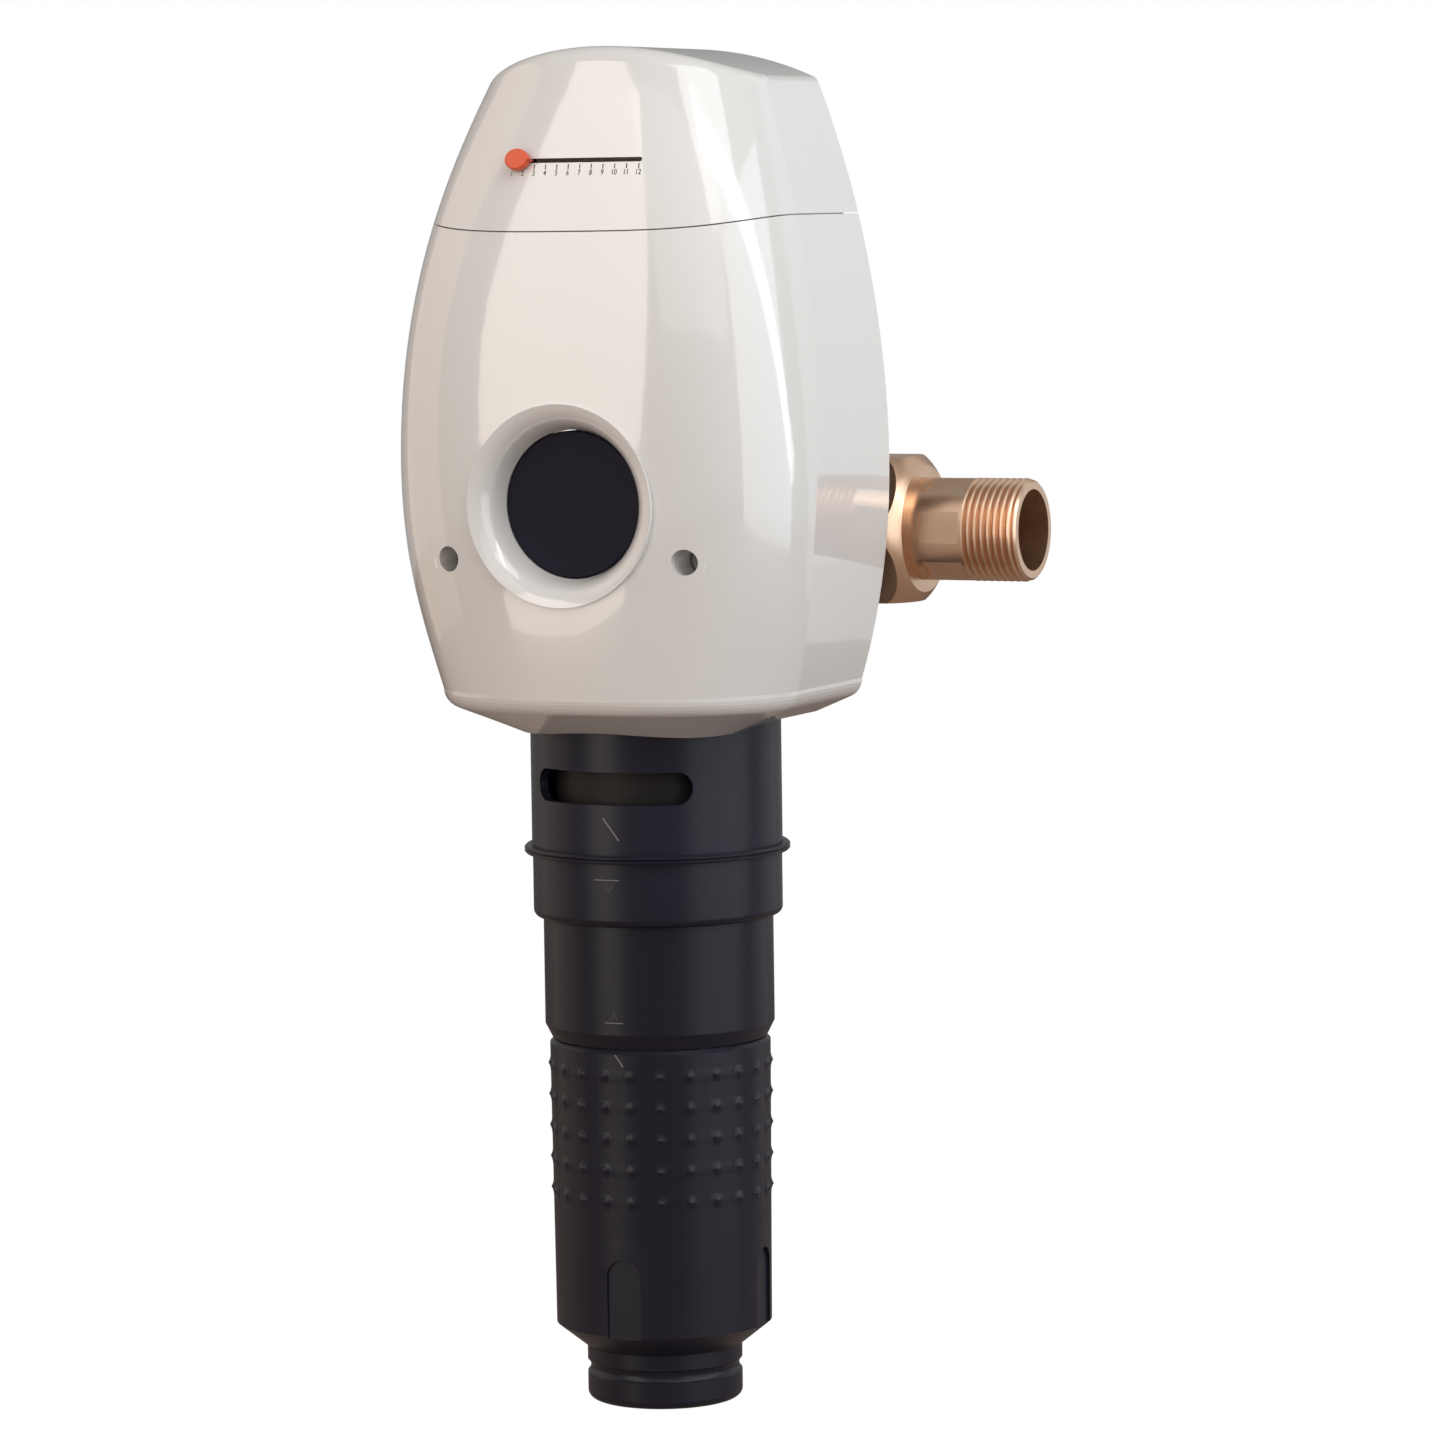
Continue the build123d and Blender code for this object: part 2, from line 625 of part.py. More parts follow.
# Suction nozzles: five opposite pairs, each mouth as tall as its band
nozzle_reach = mesh_outer - MESH_THICKNESS - NOZZLE_GAP
mouth_height = window_band / NOZZLE_COUNT - RUNNING_GAP
with BuildPart() as suction_nozzles:
    for k in range(NOZZLE_COUNT):
        level = floor_top + CAGE_RIM + window_band / NOZZLE_COUNT * (k + 0.5)
        with Locations(Location((0, 0, level), (0, 90, 0))):
            Cylinder(NOZZLE_TUBE_RADIUS, 2 * nozzle_reach - NOZZLE_MOUTH_DEPTH)
        for side in (-1, 1):
            mouth_x = side * (nozzle_reach - NOZZLE_MOUTH_DEPTH / 2)
            with Locations((mouth_x, 0, level)):
                Box(NOZZLE_MOUTH_DEPTH, NOZZLE_MOUTH_WIDTH, mouth_height)
    with BuildSketch(Plane.XY.offset(floor_top)):
        Circle(SHAFT_RADIUS + PRESS_GAP)
    extrude(amount=SCREEN_LENGTH, mode=Mode.SUBTRACT)
    for k in range(NOZZLE_COUNT):
        level = floor_top + CAGE_RIM + window_band / NOZZLE_COUNT * (k + 0.5)
        with Locations(Location((0, 0, level), (0, 90, 0))):
            Cylinder(NOZZLE_BORE, 3 * nozzle_reach, mode=Mode.SUBTRACT)
finish(suction_nozzles, "suction_nozzles")

# Backwash valve: fixed seat, turning disc and the hub that drives both disc and shaft
shaft_seal_centre = SHAFT_RADIUS + RUNNING_GAP + SEAL_RADIUS
with BuildPart() as valve_seat:
    with BuildSketch(Plane.XY.offset(seat_foot)):
        Circle(seat_radius)
        Circle(SHAFT_RADIUS + RUNNING_GAP, mode=Mode.SUBTRACT)
        with Locations((0, VALVE_PORT_CIRCLE), (0, -VALVE_PORT_CIRCLE)):
            Circle(VALVE_PORT_RADIUS, mode=Mode.SUBTRACT)
    extrude(amount=DISC_THICKNESS)
    with BuildSketch(Plane.XY.offset(seat_top - 2 * SEAL_RADIUS)):
        Circle(shaft_seal_centre + SEAL_RADIUS)
    extrude(amount=2 * SEAL_RADIUS, mode=Mode.SUBTRACT)
finish(valve_seat, "valve_seat")

with BuildPart() as shaft_seal:
    with BuildSketch(Plane.XZ):
        with Locations((shaft_seal_centre, seat_top - SEAL_RADIUS)):
            Circle(SEAL_RADIUS)
    revolve(axis=Axis.Z)
finish(shaft_seal, "shaft_seal")

disc_radius = seat_radius
port_spots = [(VALVE_PORT_CIRCLE, 0), (-VALVE_PORT_CIRCLE, 0)]
with BuildPart() as valve_disc:
    with BuildSketch(Plane.XY.offset(disc_foot)):
        Circle(disc_radius)
        Circle(SHAFT_RADIUS + PRESS_GAP, mode=Mode.SUBTRACT)
        with Locations(*port_spots):
            Circle(VALVE_PORT_RADIUS, mode=Mode.SUBTRACT)
    extrude(amount=DISC_THICKNESS)
finish(valve_disc, "valve_disc")

with BuildPart() as drive_hub:
    with BuildSketch(Plane.XY.offset(hub_foot)):
        Circle(grip_bore - PRESS_GAP)
        with Locations(*port_spots):
            Circle(VALVE_PORT_RADIUS, mode=Mode.SUBTRACT)
    extrude(amount=HUB_THICKNESS)
    with BuildSketch(Plane.XY.offset(shaft_foot)):
        Circle(SHAFT_RADIUS + PRESS_GAP)
    extrude(amount=HUB_THICKNESS, mode=Mode.SUBTRACT)
finish(drive_hub, "drive_hub")

# Filter head: neck, two chambers, rear flange and gauge boss
neck_bore = BOWL_RADIUS + RUNNING_GAP * 2
neck_start = bowl_top - NECK_ENTRY
head_flange_face = FLANGE_FACE - GASKET_THICKNESS
bolt_spots = [
    (x * BOLT_CIRCLE * sqrt(0.5), y * BOLT_CIRCLE * sqrt(0.5)) for x in (-1, 1) for y in (-1, 1)
]
inlet_spot = (PORT_OFFSET, PORT_STEP)
outlet_spot = (-PORT_OFFSET, -PORT_STEP)
with BuildPart() as filter_head:
    with BuildSketch(Plane.XY.offset(neck_start)):
        Circle(HEAD_RADIUS)
    extrude(amount=head_top - neck_start)
    with BuildSketch(facing(0, PIPE_LEVEL)):
        Circle(FLANGE_NECK_RADIUS)
    extrude(amount=head_flange_face)
    with BuildSketch(facing(head_flange_face - HEAD_FLANGE_THICKNESS, PIPE_LEVEL)):
        Circle(FLANGE_RADIUS)
    extrude(amount=HEAD_FLANGE_THICKNESS)
    with BuildSketch(facing(-BOSS_FACE, RECESS_LEVEL)):
        Circle(BOSS_RADIUS)
    extrude(amount=BOSS_FACE)
    fillet(edges().filter_by(GeomType.CIRCLE).group_by(Axis.Z)[-1], HEAD_ROOF / 2)
    with BuildSketch(facing(head_flange_face, PIPE_LEVEL)):
        Rectangle(2 * FLANGE_RADIUS, 2 * FLANGE_RADIUS + GUIDE_FLANGE)
    extrude(amount=FLANGE_FACE, mode=Mode.SUBTRACT)
    with BuildSketch(Plane.XY.offset(neck_start)):
        Circle(neck_bore)
    extrude(amount=NECK_ENTRY + LOOSE_GAP, mode=Mode.SUBTRACT)
    with BuildSketch(Plane.XY.offset(neck_start)):
        Circle(CHAMBER_RADIUS)
    extrude(amount=divider_foot - neck_start, mode=Mode.SUBTRACT)
    with BuildSketch(Plane.XY.offset(divider_foot)):
        Circle(GUIDE_RADIUS + RUNNING_GAP)
    extrude(amount=DIVIDER_THICKNESS, mode=Mode.SUBTRACT)
    with BuildSketch(Plane.XY.offset(divider_top)):
        Circle(UPPER_CHAMBER_RADIUS)
    extrude(amount=UPPER_CHAMBER_HEIGHT, mode=Mode.SUBTRACT)
    with BuildSketch(facing(UPPER_CHAMBER_RADIUS / 2, PIPE_LEVEL)):
        with Locations(inlet_spot, outlet_spot):
            Circle(PORT_RADIUS)
    extrude(amount=FLANGE_FACE, mode=Mode.SUBTRACT)
    with BuildSketch(facing(head_flange_face - HEAD_FLANGE_THICKNESS, PIPE_LEVEL)):
        with Locations(*bolt_spots):
            Circle(BOLT_RADIUS + RUNNING_GAP)
    extrude(amount=HEAD_FLANGE_THICKNESS, mode=Mode.SUBTRACT)
    with BuildSketch(facing(-BOSS_FACE, RECESS_LEVEL)):
        Circle(CAP_SHANK_RADIUS + RUNNING_GAP)
    extrude(amount=BOSS_FACE - UPPER_CHAMBER_RADIUS + SLEEVE_WALL, mode=Mode.SUBTRACT)
finish(filter_head, "filter_head")

# Front cap: flat disc with a hub and a shank into the gauge port
with BuildPart() as front_cap:
    with BuildSketch(RECESS_PLANE):
        outline([
            (0, -CAP_FACE),
            (CAP_RADIUS - 0.4, -CAP_FACE),
            (CAP_RADIUS, -CAP_FACE + 0.4),
            (CAP_RADIUS, -CAP_FACE + CAP_THICKNESS),
            (CAP_HUB_RADIUS, -CAP_FACE + CAP_THICKNESS),
            (CAP_HUB_RADIUS, -CAP_HUB_FACE),
            (CAP_SHANK_RADIUS, -CAP_HUB_FACE),
            (CAP_SHANK_RADIUS, -CAP_SHANK_END),
            (0, -CAP_SHANK_END),
        ])
    revolve(axis=RECESS_AXIS)
finish(front_cap, "front_cap")

# Hood bracket: plate round the gauge boss with a screw post at each end
bracket_back = -BRACKET_BACK
bracket_face = bracket_back - BRACKET_THICKNESS
with BuildPart() as hood_bracket:
    with BuildSketch(facing(bracket_face, SCREW_LEVEL)):
        Rectangle(SCREW_SPACING, BRACKET_HEIGHT)
        with Locations((-screw_x, 0), (screw_x, 0)):
            Circle(BRACKET_HEIGHT / 2)
        with Locations((0, RECESS_LEVEL - SCREW_LEVEL)):
            Circle(BOSS_RADIUS + SLEEVE_WALL * 2)
            Circle(BOSS_RADIUS + RUNNING_GAP, mode=Mode.SUBTRACT)
    extrude(amount=BRACKET_THICKNESS)
    with BuildSketch(facing(-SCREW_WELL_END + 0.1, SCREW_LEVEL)):
        with Locations((-screw_x, 0), (screw_x, 0)):
            Circle(SCREW_WELL_RADIUS + SCREW_WELL_WALL)
    extrude(amount=SCREW_WELL_END - BRACKET_BACK + SLEEVE_WALL)
    with BuildSketch(facing(-SCREW_WELL_END, SCREW_LEVEL)):
        with Locations((-screw_x, 0), (screw_x, 0)):
            Circle(SCREW_RADIUS + RUNNING_GAP)
    extrude(amount=SCREW_LENGTH, mode=Mode.SUBTRACT)
finish(hood_bracket, "hood_bracket")


# Hood: plan sections lofted along a barrel-shaped side outline
def barrel(widest, z, arc_up, arc_down):
    """Half size at a height on an outline of two arcs that meet at the widest level."""
    rise = z - HOOD_WIDEST
    arc = arc_up if rise > 0 else arc_down
    return widest - (arc - sqrt(arc**2 - rise**2))


def crease_and_fullness(z):
    """Crease distance and front fullness at a height, straight between the listed ones."""
    low, high = HOOD_PLAN[0], HOOD_PLAN[1]
    for first, second in zip(HOOD_PLAN, HOOD_PLAN[1:]):
        if z >= first[0]:
            low, high = first, second
    share = (z - low[0]) / (high[0] - low[0])
    return low[1] + (high[1] - low[1]) * share, low[2] + (high[2] - low[2]) * share


def hood_plan(z, lift, inset, rear):
    """Plan face of the hood at a height, lifted, and drawn in by an inset."""
    level = max(z, HOOD_TURN_LEVEL)
    half = barrel(HOOD_HALF_WIDTH, level, HOOD_SIDE_ARC_UP, HOOD_SIDE_ARC_DOWN) - inset
    front = barrel(HOOD_DEPTH, level, HOOD_FRONT_ARC_UP, HOOD_FRONT_ARC_DOWN) - inset
    crease, fullness = crease_and_fullness(level)
    centre = HOOD_CREASE_BACK - crease
    depth = front + centre
    reach = half / (1 - (HOOD_CREASE_BACK / depth) ** fullness) ** (1 / fullness)
    points = []
    for k in range(-FRONT_POINTS, FRONT_POINTS + 1):
        x = half * sin(radians(90 * k / FRONT_POINTS))
        y = centre - depth * (1 - (abs(x) / reach) ** fullness) ** (1 / fullness)
        points.append((x, y))
    with BuildSketch(Plane.XY.offset(z + lift)) as plan:
        with BuildLine():
            Spline(*points)
            Polyline(points[-1], (half, rear), (-half, rear), points[0])
        make_face()
    return plan.sketch.faces()[0]


def turn_levels():
    """Heights and insets of the under-turned edge, then of the floor's inner end."""
    steps = []
    for k in range(HOOD_TURN_STEPS + 1):
        share = k / HOOD_TURN_STEPS
        angle = radians(HOOD_TURN_ANGLE * share)
        drop = HOOD_TURN_RADIUS * sin(angle)
        steps.append((HOOD_TURN_LEVEL - drop, HOOD_TURN_RADIUS * (1 - cos(angle))))
    last_level, last_inset = steps[-1]
    slope = tan(radians(90 - HOOD_TURN_ANGLE))
    run = HOOD_FLOOR_REACH - last_inset
    steps.append((last_level - run * slope, HOOD_FLOOR_REACH))
    return steps


def crown_edges(form, at_front):
    """Edges round the crown of the hood form: the front one, or the two at the sides."""
    crown = form.faces().filter_by(GeomType.CYLINDER).sort_by(Axis.Z)[-1]
    front = crown.edges().sort_by(lambda edge: edge.bounding_box().min.Y)[0]
    sides = crown.edges().sort_by(lambda edge: abs(edge.center().X))[-2:]
    return [front] if at_front else sides


def hood_body(inset, lift, rear, top, front_rounding=0, side_rounding=0):
    """Solid hood form, drawn in by an inset, its floor raised by a lift."""
    walls = []
    for z, _, _ in HOOD_PLAN:
        walls.append(hood_plan(z, lift if z == HOOD_TURN_LEVEL else 0, inset, rear))
    turned = []
    for z, turn_inset in reversed(turn_levels()):
        turned.append(hood_plan(z, lift, inset + turn_inset, rear))
    with BuildPart() as form:
        loft(walls)
        loft(turned, ruled=True)
        arc_foot = top - HOOD_TOP_ARC + sqrt(HOOD_TOP_ARC**2 - HOOD_HALF_WIDTH**2)
        with BuildSketch(Plane.XZ):
            with BuildLine():
                ThreePointArc((-HOOD_HALF_WIDTH, arc_foot), (0, top), (HOOD_HALF_WIDTH, arc_foot))
                Polyline(
                    (HOOD_HALF_WIDTH, arc_foot),
                    (2 * HOOD_HALF_WIDTH, arc_foot),
                    (2 * HOOD_HALF_WIDTH, 0),
                    (-2 * HOOD_HALF_WIDTH, 0),
                    (-2 * HOOD_HALF_WIDTH, arc_foot),
                    (-HOOD_HALF_WIDTH, arc_foot),
                )
            make_face()
        extrude(amount=2 * HOOD_DEPTH, both=True, mode=Mode.INTERSECT)
        if front_rounding:
            fillet(crown_edges(form.part, True), front_rounding)
        if side_rounding:
            fillet(crown_edges(form.part, False), side_rounding)
    return form.part


hood_outside = hood_body(0, 0, HOOD_REAR, HOOD_TOP, TOP_FRONT_ROUNDING, TOP_SIDE_ROUNDING)
hood_inside = hood_body(HOOD_WALL, HOOD_WALL, 2 * HOOD_REAR, HOOD_TOP - HOOD_WALL)
lid_inside = hood_body(
    HOOD_WALL, HOOD_WALL, HOOD_REAR - HOOD_WALL, HOOD_TOP - HOOD_WALL, TOP_FRONT_ROUNDING - HOOD_WALL
)


def split_side(offset, above):
    """Block above or below the split line, which dips towards the front."""
    far = 2 * HOOD_DEPTH
    end = HOOD_TOP + far if above else 0
    level = SPLIT_LEVEL + offset
    steps = 6
    dip = []
    for k in range(1, steps + 1):
        share = k / steps
        dip.append((SPLIT_STRAIGHT_END * (1 - share) - HOOD_DEPTH * share, level - SPLIT_DIP * share**2))
    with BuildPart() as block:
        with BuildSketch(Plane.YZ):
            with BuildLine():
                Line((far, level), (SPLIT_STRAIGHT_END, level))
                Spline((SPLIT_STRAIGHT_END, level), *dip, tangents=[(-1, 0), (-1, -0.29)])
                Polyline(dip[-1], (-far, dip[-1][1]), (-far, end), (far, end), (far, level))
            make_face()
        extrude(amount=far, both=True)
    return block.part


well_spots = [(-screw_x, 0), (screw_x, 0)]
with BuildPart() as hood_shell:
    add(hood_outside)
    add(split_side(-SPLIT_GAP / 2, False), mode=Mode.INTERSECT)
    add(hood_inside, mode=Mode.SUBTRACT)
    with BuildSketch(RECESS_PLANE):
        with BuildLine():
            Polyline(
                (CAP_RADIUS - 1, -RECESS_RIM_FOOT),
                (CAP_RADIUS - 1, -RECESS_CREST_DEPTH),
                (RECESS_CREST_RADIUS, -RECESS_CREST_DEPTH),
            )
            RadiusArc(
                (RECESS_CREST_RADIUS, -RECESS_CREST_DEPTH),
                (RECESS_RIM_RADIUS, -RECESS_RIM_FOOT),
                2 * SLEEVE_WALL + 1,
            )
            Line((RECESS_RIM_RADIUS, -RECESS_RIM_FOOT), (CAP_RADIUS - 1, -RECESS_RIM_FOOT))
        make_face()
    revolve(axis=RECESS_AXIS)
    with BuildSketch(RECESS_PLANE):
        outline([
            (CAP_RADIUS - 1, -RECESS_RIM_FOOT),
            (RECESS_RIM_RADIUS, -RECESS_RIM_FOOT),
            (CAP_RADIUS + SLEEVE_WALL, -CAP_FACE + CAP_THICKNESS),
            (CAP_RADIUS - 1, -CAP_FACE + CAP_THICKNESS),
        ])
    revolve(axis=RECESS_AXIS)
    with BuildSketch(RECESS_PLANE):
        with BuildLine():
            Line((0, -2 * HOOD_DEPTH), (RECESS_CREST_RADIUS, -2 * HOOD_DEPTH))
            Line((RECESS_CREST_RADIUS, -2 * HOOD_DEPTH), (RECESS_CREST_RADIUS, -RECESS_CREST_DEPTH))
            Spline(
                (RECESS_CREST_RADIUS, -RECESS_CREST_DEPTH),
                (CAP_RADIUS + LOOSE_GAP, -CAP_FACE),
                tangents=[(-1, 0.25), (-0.25, 1)],
            )
            Polyline(
                (CAP_RADIUS + LOOSE_GAP, -CAP_FACE),
                (CAP_RADIUS + LOOSE_GAP, -CAP_HUB_FACE),
                (0, -CAP_HUB_FACE),
                (0, -2 * HOOD_DEPTH),
            )
        make_face()
    revolve(axis=RECESS_AXIS, mode=Mode.SUBTRACT)
    with BuildSketch(facing(-RECESS_RIM_FOOT, SCREW_LEVEL)):
        with Locations(*well_spots):
            Circle(SCREW_WELL_RADIUS + SCREW_WELL_WALL)
    extrude(amount=RECESS_RIM_FOOT - SCREW_WELL_END)
    with BuildSketch(facing(-2 * HOOD_DEPTH, SCREW_LEVEL)):
        with Locations(*well_spots):
            Circle(SCREW_WELL_RADIUS)
    extrude(amount=2 * HOOD_DEPTH - SCREW_WELL_END - SLEEVE_WALL, mode=Mode.SUBTRACT)
    with BuildSketch(facing(-2 * HOOD_DEPTH, SCREW_LEVEL)):
        with Locations(*well_spots):
            Circle(SCREW_RADIUS + LOOSE_GAP)
    extrude(amount=2 * HOOD_DEPTH, mode=Mode.SUBTRACT)
    with BuildSketch(Plane.XY):
        Circle(HOOD_MOUTH_RADIUS)
        with Locations((0, HOOD_REAR)):
            Rectangle(2 * HOOD_MOUTH_RADIUS, 2 * HOOD_REAR)
    extrude(amount=HOOD_TURN_LEVEL, mode=Mode.SUBTRACT)
finish(hood_shell, "hood_shell")

# Lid: top of the hood with a tongue that reaches into the shell
tongue_inset = HOOD_WALL + LID_TRAVEL_EDGE
tongue_drop = SPLIT_DIP + TONGUE_DEPTH
tongue_height = tongue_drop + SLEEVE_WALL
tongue_bore = tongue_inset + TONGUE_WALL
tongue_outer = hood_plan(SPLIT_LEVEL, -tongue_drop, tongue_inset, HOOD_REAR - tongue_inset)
tongue_inner = hood_plan(SPLIT_LEVEL, -tongue_drop, tongue_bore, HOOD_REAR - tongue_bore)
with BuildPart() as tongue:
    extrude(tongue_outer, amount=tongue_height)
    extrude(tongue_inner, amount=tongue_height, mode=Mode.SUBTRACT)

slot_length = SCALE_SLOT_RIGHT - SCALE_SLOT_LEFT
slot_middle = (SCALE_SLOT_RIGHT + SCALE_SLOT_LEFT) / 2
with BuildPart() as hood_lid:
    add(hood_outside)
    add(split_side(SPLIT_GAP / 2, True), mode=Mode.INTERSECT)
    add(lid_inside, mode=Mode.SUBTRACT)
    add(tongue.part)
    with BuildSketch(facing(-2 * HOOD_DEPTH, SCALE_LEVEL)):
        with Locations((-slot_middle, 0)):
            SlotOverall(slot_length, SCALE_SLOT_HEIGHT)
    extrude(amount=2 * HOOD_DEPTH, mode=Mode.SUBTRACT)
finish(hood_lid, "hood_lid")

# Hood screws, one down each well
with BuildPart() as hood_screws:
    with BuildSketch(facing(-SCREW_WELL_END - SLEEVE_WALL - SCREW_HEAD_HEIGHT, SCREW_LEVEL)):
        with Locations(*well_spots):
            Circle(SCREW_HEAD_RADIUS)
    extrude(amount=SCREW_HEAD_HEIGHT)
    with BuildSketch(facing(-SCREW_WELL_END - SLEEVE_WALL, SCREW_LEVEL)):
        with Locations(*well_spots):
            Circle(SCREW_RADIUS)
    extrude(amount=SCREW_LENGTH)
finish(hood_screws, "hood_screws")

# Date pointer and its clip inside the lid
scale_front = barrel(HOOD_DEPTH, SCALE_LEVEL, HOOD_FRONT_ARC_UP, HOOD_FRONT_ARC_DOWN)
scale_lean = degrees(asin((SCALE_LEVEL - HOOD_WIDEST) / HOOD_FRONT_ARC_UP))
pointer_plane = Plane(
    origin=(POINTER_REST, -scale_front, SCALE_LEVEL),
    x_dir=(1, 0, 0),
    z_dir=(0, -cos(radians(scale_lean)), sin(radians(scale_lean))),
)
pointer_gap = LOOSE_GAP / 2
clip_start = HOOD_WALL + CLIP_SETBACK
with BuildPart() as date_pointer:
    with BuildSketch(pointer_plane.offset(pointer_gap)):
        Ellipse(POINTER_LENGTH / 2, POINTER_HEIGHT / 2)
        with BuildLine():
            Polyline(
                (0, POINTER_HEIGHT * 0.42),
                (POINTER_LENGTH / 2 + POINTER_TIP, 0),
                (0, -POINTER_HEIGHT * 0.42),
                close=True,
            )
        make_face()
    extrude(amount=POINTER_THICKNESS)
    pointer_face = date_pointer.faces().sort_by(Axis.Y)[0]
    fillet(pointer_face.edges(), POINTER_ROUNDING)
    with BuildSketch(facing(-scale_front - POINTER_THICKNESS / 2, SCALE_LEVEL, POINTER_REST)):
        Rectangle(POINTER_STEM_WIDTH, POINTER_STEM_HEIGHT)
    extrude(amount=POINTER_THICKNESS / 2 + clip_start + CLIP_THICKNESS + LOOSE_GAP)
finish(date_pointer, "date_pointer")

with BuildPart() as pointer_clip:
    with BuildSketch(pointer_plane.offset(-clip_start - CLIP_THICKNESS)):
        Rectangle(CLIP_SIZE, CLIP_SIZE * 0.75)
    extrude(amount=CLIP_THICKNESS)
    with BuildSketch(facing(-2 * HOOD_DEPTH, SCALE_LEVEL, POINTER_REST)):
        Rectangle(POINTER_STEM_WIDTH + 2 * PRESS_GAP, POINTER_STEM_HEIGHT + 2 * PRESS_GAP)
    extrude(amount=2 * HOOD_DEPTH, mode=Mode.SUBTRACT)
finish(pointer_clip, "pointer_clip")

# Pipe body with flange: left bore feeds the upper port, right bore the lower one
with BuildPart() as flange_body:
    with BuildSketch(PIPE_PLANE):
        outline([
            (0, 0),
            (0, BODY_TUBE_RADIUS),
            (UNION_FACE - UNION_THREAD_LENGTH, BODY_TUBE_RADIUS),
            (UNION_FACE - UNION_THREAD_LENGTH, UNION_THREAD_RADIUS),
            (UNION_FACE, UNION_THREAD_RADIUS),
            (UNION_FACE, 0),
        ])
    revolve(axis=PIPE_AXIS)
    mirror(about=Plane.YZ)
    with BuildSketch(facing(FLANGE_FACE, PIPE_LEVEL)):
        Circle(FLANGE_RADIUS)
    extrude(amount=FLANGE_THICKNESS)
    with BuildSketch(facing(FLANGE_FACE, PIPE_LEVEL)):
        Circle(FLANGE_NECK_RADIUS)
    extrude(amount=PIPE_SETBACK - FLANGE_FACE)
    for side in (-1, 1):
        bore_plane = Plane(
            origin=(side * BODY_PARTITION, PIPE_SETBACK, PIPE_LEVEL),
            x_dir=(0, 1, 0),
            z_dir=(side, 0, 0),
        )
        with BuildSketch(bore_plane):
            Circle(BODY_BORE)
        extrude(amount=UNION_FACE, mode=Mode.SUBTRACT)
    with BuildSketch(facing(FLANGE_FACE, PIPE_LEVEL)):
        with Locations(inlet_spot, outlet_spot):
            Circle(PORT_RADIUS)
    extrude(amount=PIPE_SETBACK - FLANGE_FACE, mode=Mode.SUBTRACT)
    with BuildSketch(facing(FLANGE_FACE, PIPE_LEVEL)):
        with Locations(*bolt_spots):
            Circle(BOLT_RADIUS + BOLT_CLEARANCE)
    extrude(amount=FLANGE_THICKNESS, mode=Mode.SUBTRACT)
finish(flange_body, "flange_body")

with BuildPart() as flange_gasket:
    with BuildSketch(facing(head_flange_face, PIPE_LEVEL)):
        Circle(FLANGE_NECK_RADIUS)
        with Locations(inlet_spot, outlet_spot):
            Circle(PORT_RADIUS, mode=Mode.SUBTRACT)
    extrude(amount=GASKET_THICKNESS)
finish(flange_gasket, "flange_gasket")

bolt_head_foot = FLANGE_FACE + FLANGE_THICKNESS
with BuildPart() as flange_bolts:
    with BuildSketch(facing(bolt_head_foot, PIPE_LEVEL)):
        with Locations(*bolt_spots):
            RegularPolygon(BOLT_HEAD_FLATS / 2, 6, major_radius=False)
    extrude(amount=BOLT_HEAD_HEIGHT)
    with BuildSketch(facing(head_flange_face - HEAD_FLANGE_THICKNESS, PIPE_LEVEL)):
        with Locations(*bolt_spots):
            Circle(BOLT_RADIUS)
    extrude(amount=HEAD_FLANGE_THICKNESS + GASKET_THICKNESS + FLANGE_THICKNESS)
finish(flange_bolts, "flange_bolts")

# Union nut: hexagon with a domed outer end, lip behind the tail's collar
nut_start = NUT_END - NUT_LENGTH
collar_start = UNION_FACE + UNION_GASKET
collar_end = NUT_END - NUT_LIP - LOOSE_GAP
nut_corner = NUT_FLATS / sqrt(3)
dome_start = NUT_END - NUT_DOME_LENGTH
dome_middle = (NUT_END - NUT_DOME_LENGTH * (1 - NUT_DOME_BULGE), (nut_corner + NUT_FACE_RADIUS) / 2)
nut_plane = Plane(
    origin=(nut_start, PIPE_SETBACK, PIPE_LEVEL), x_dir=(0, 1, 0), z_dir=(1, 0, 0)
)
with BuildPart() as union_nut_right:
    with BuildSketch(nut_plane):
        RegularPolygon(NUT_FLATS / 2, 6, major_radius=False, rotation=0)
    extrude(amount=NUT_LENGTH)
    with BuildSketch(PIPE_PLANE):
        with BuildLine():
            Polyline(
                (NUT_END, NUT_FACE_RADIUS),
                (NUT_END, 0),
                (nut_start, 0),
                (nut_start, 2 * nut_corner),
                (dome_start, 2 * nut_corner),
                (dome_start, nut_corner),
            )
            ThreePointArc((dome_start, nut_corner), dome_middle, (NUT_END, NUT_FACE_RADIUS))
        make_face()
    revolve(axis=PIPE_AXIS, mode=Mode.INTERSECT)
    with BuildSketch(nut_plane):
        Circle(UNION_THREAD_RADIUS + RUNNING_GAP)
    extrude(amount=NUT_LENGTH - NUT_LIP, mode=Mode.SUBTRACT)
    with BuildSketch(nut_plane):
        Circle(TAIL_BODY_RADIUS + RUNNING_GAP)
    extrude(amount=NUT_LENGTH, mode=Mode.SUBTRACT)
finish(union_nut_right, "union_nut_right")

with BuildPart() as union_nut_left:
    mirror(union_nut_right.part, about=Plane.YZ)
finish(union_nut_left, "union_nut_left")

with BuildPart() as union_gasket_right:
    with BuildSketch(Plane(PIPE_PLANE.origin + Vector(UNION_FACE, 0, 0), x_dir=(0, 1, 0), z_dir=(1, 0, 0))):
        Circle(TAIL_COLLAR_RADIUS)
        Circle(BODY_BORE, mode=Mode.SUBTRACT)
    extrude(amount=UNION_GASKET)
finish(union_gasket_right, "union_gasket_right")

with BuildPart() as union_gasket_left:
    mirror(union_gasket_right.part, about=Plane.YZ)
finish(union_gasket_left, "union_gasket_left")

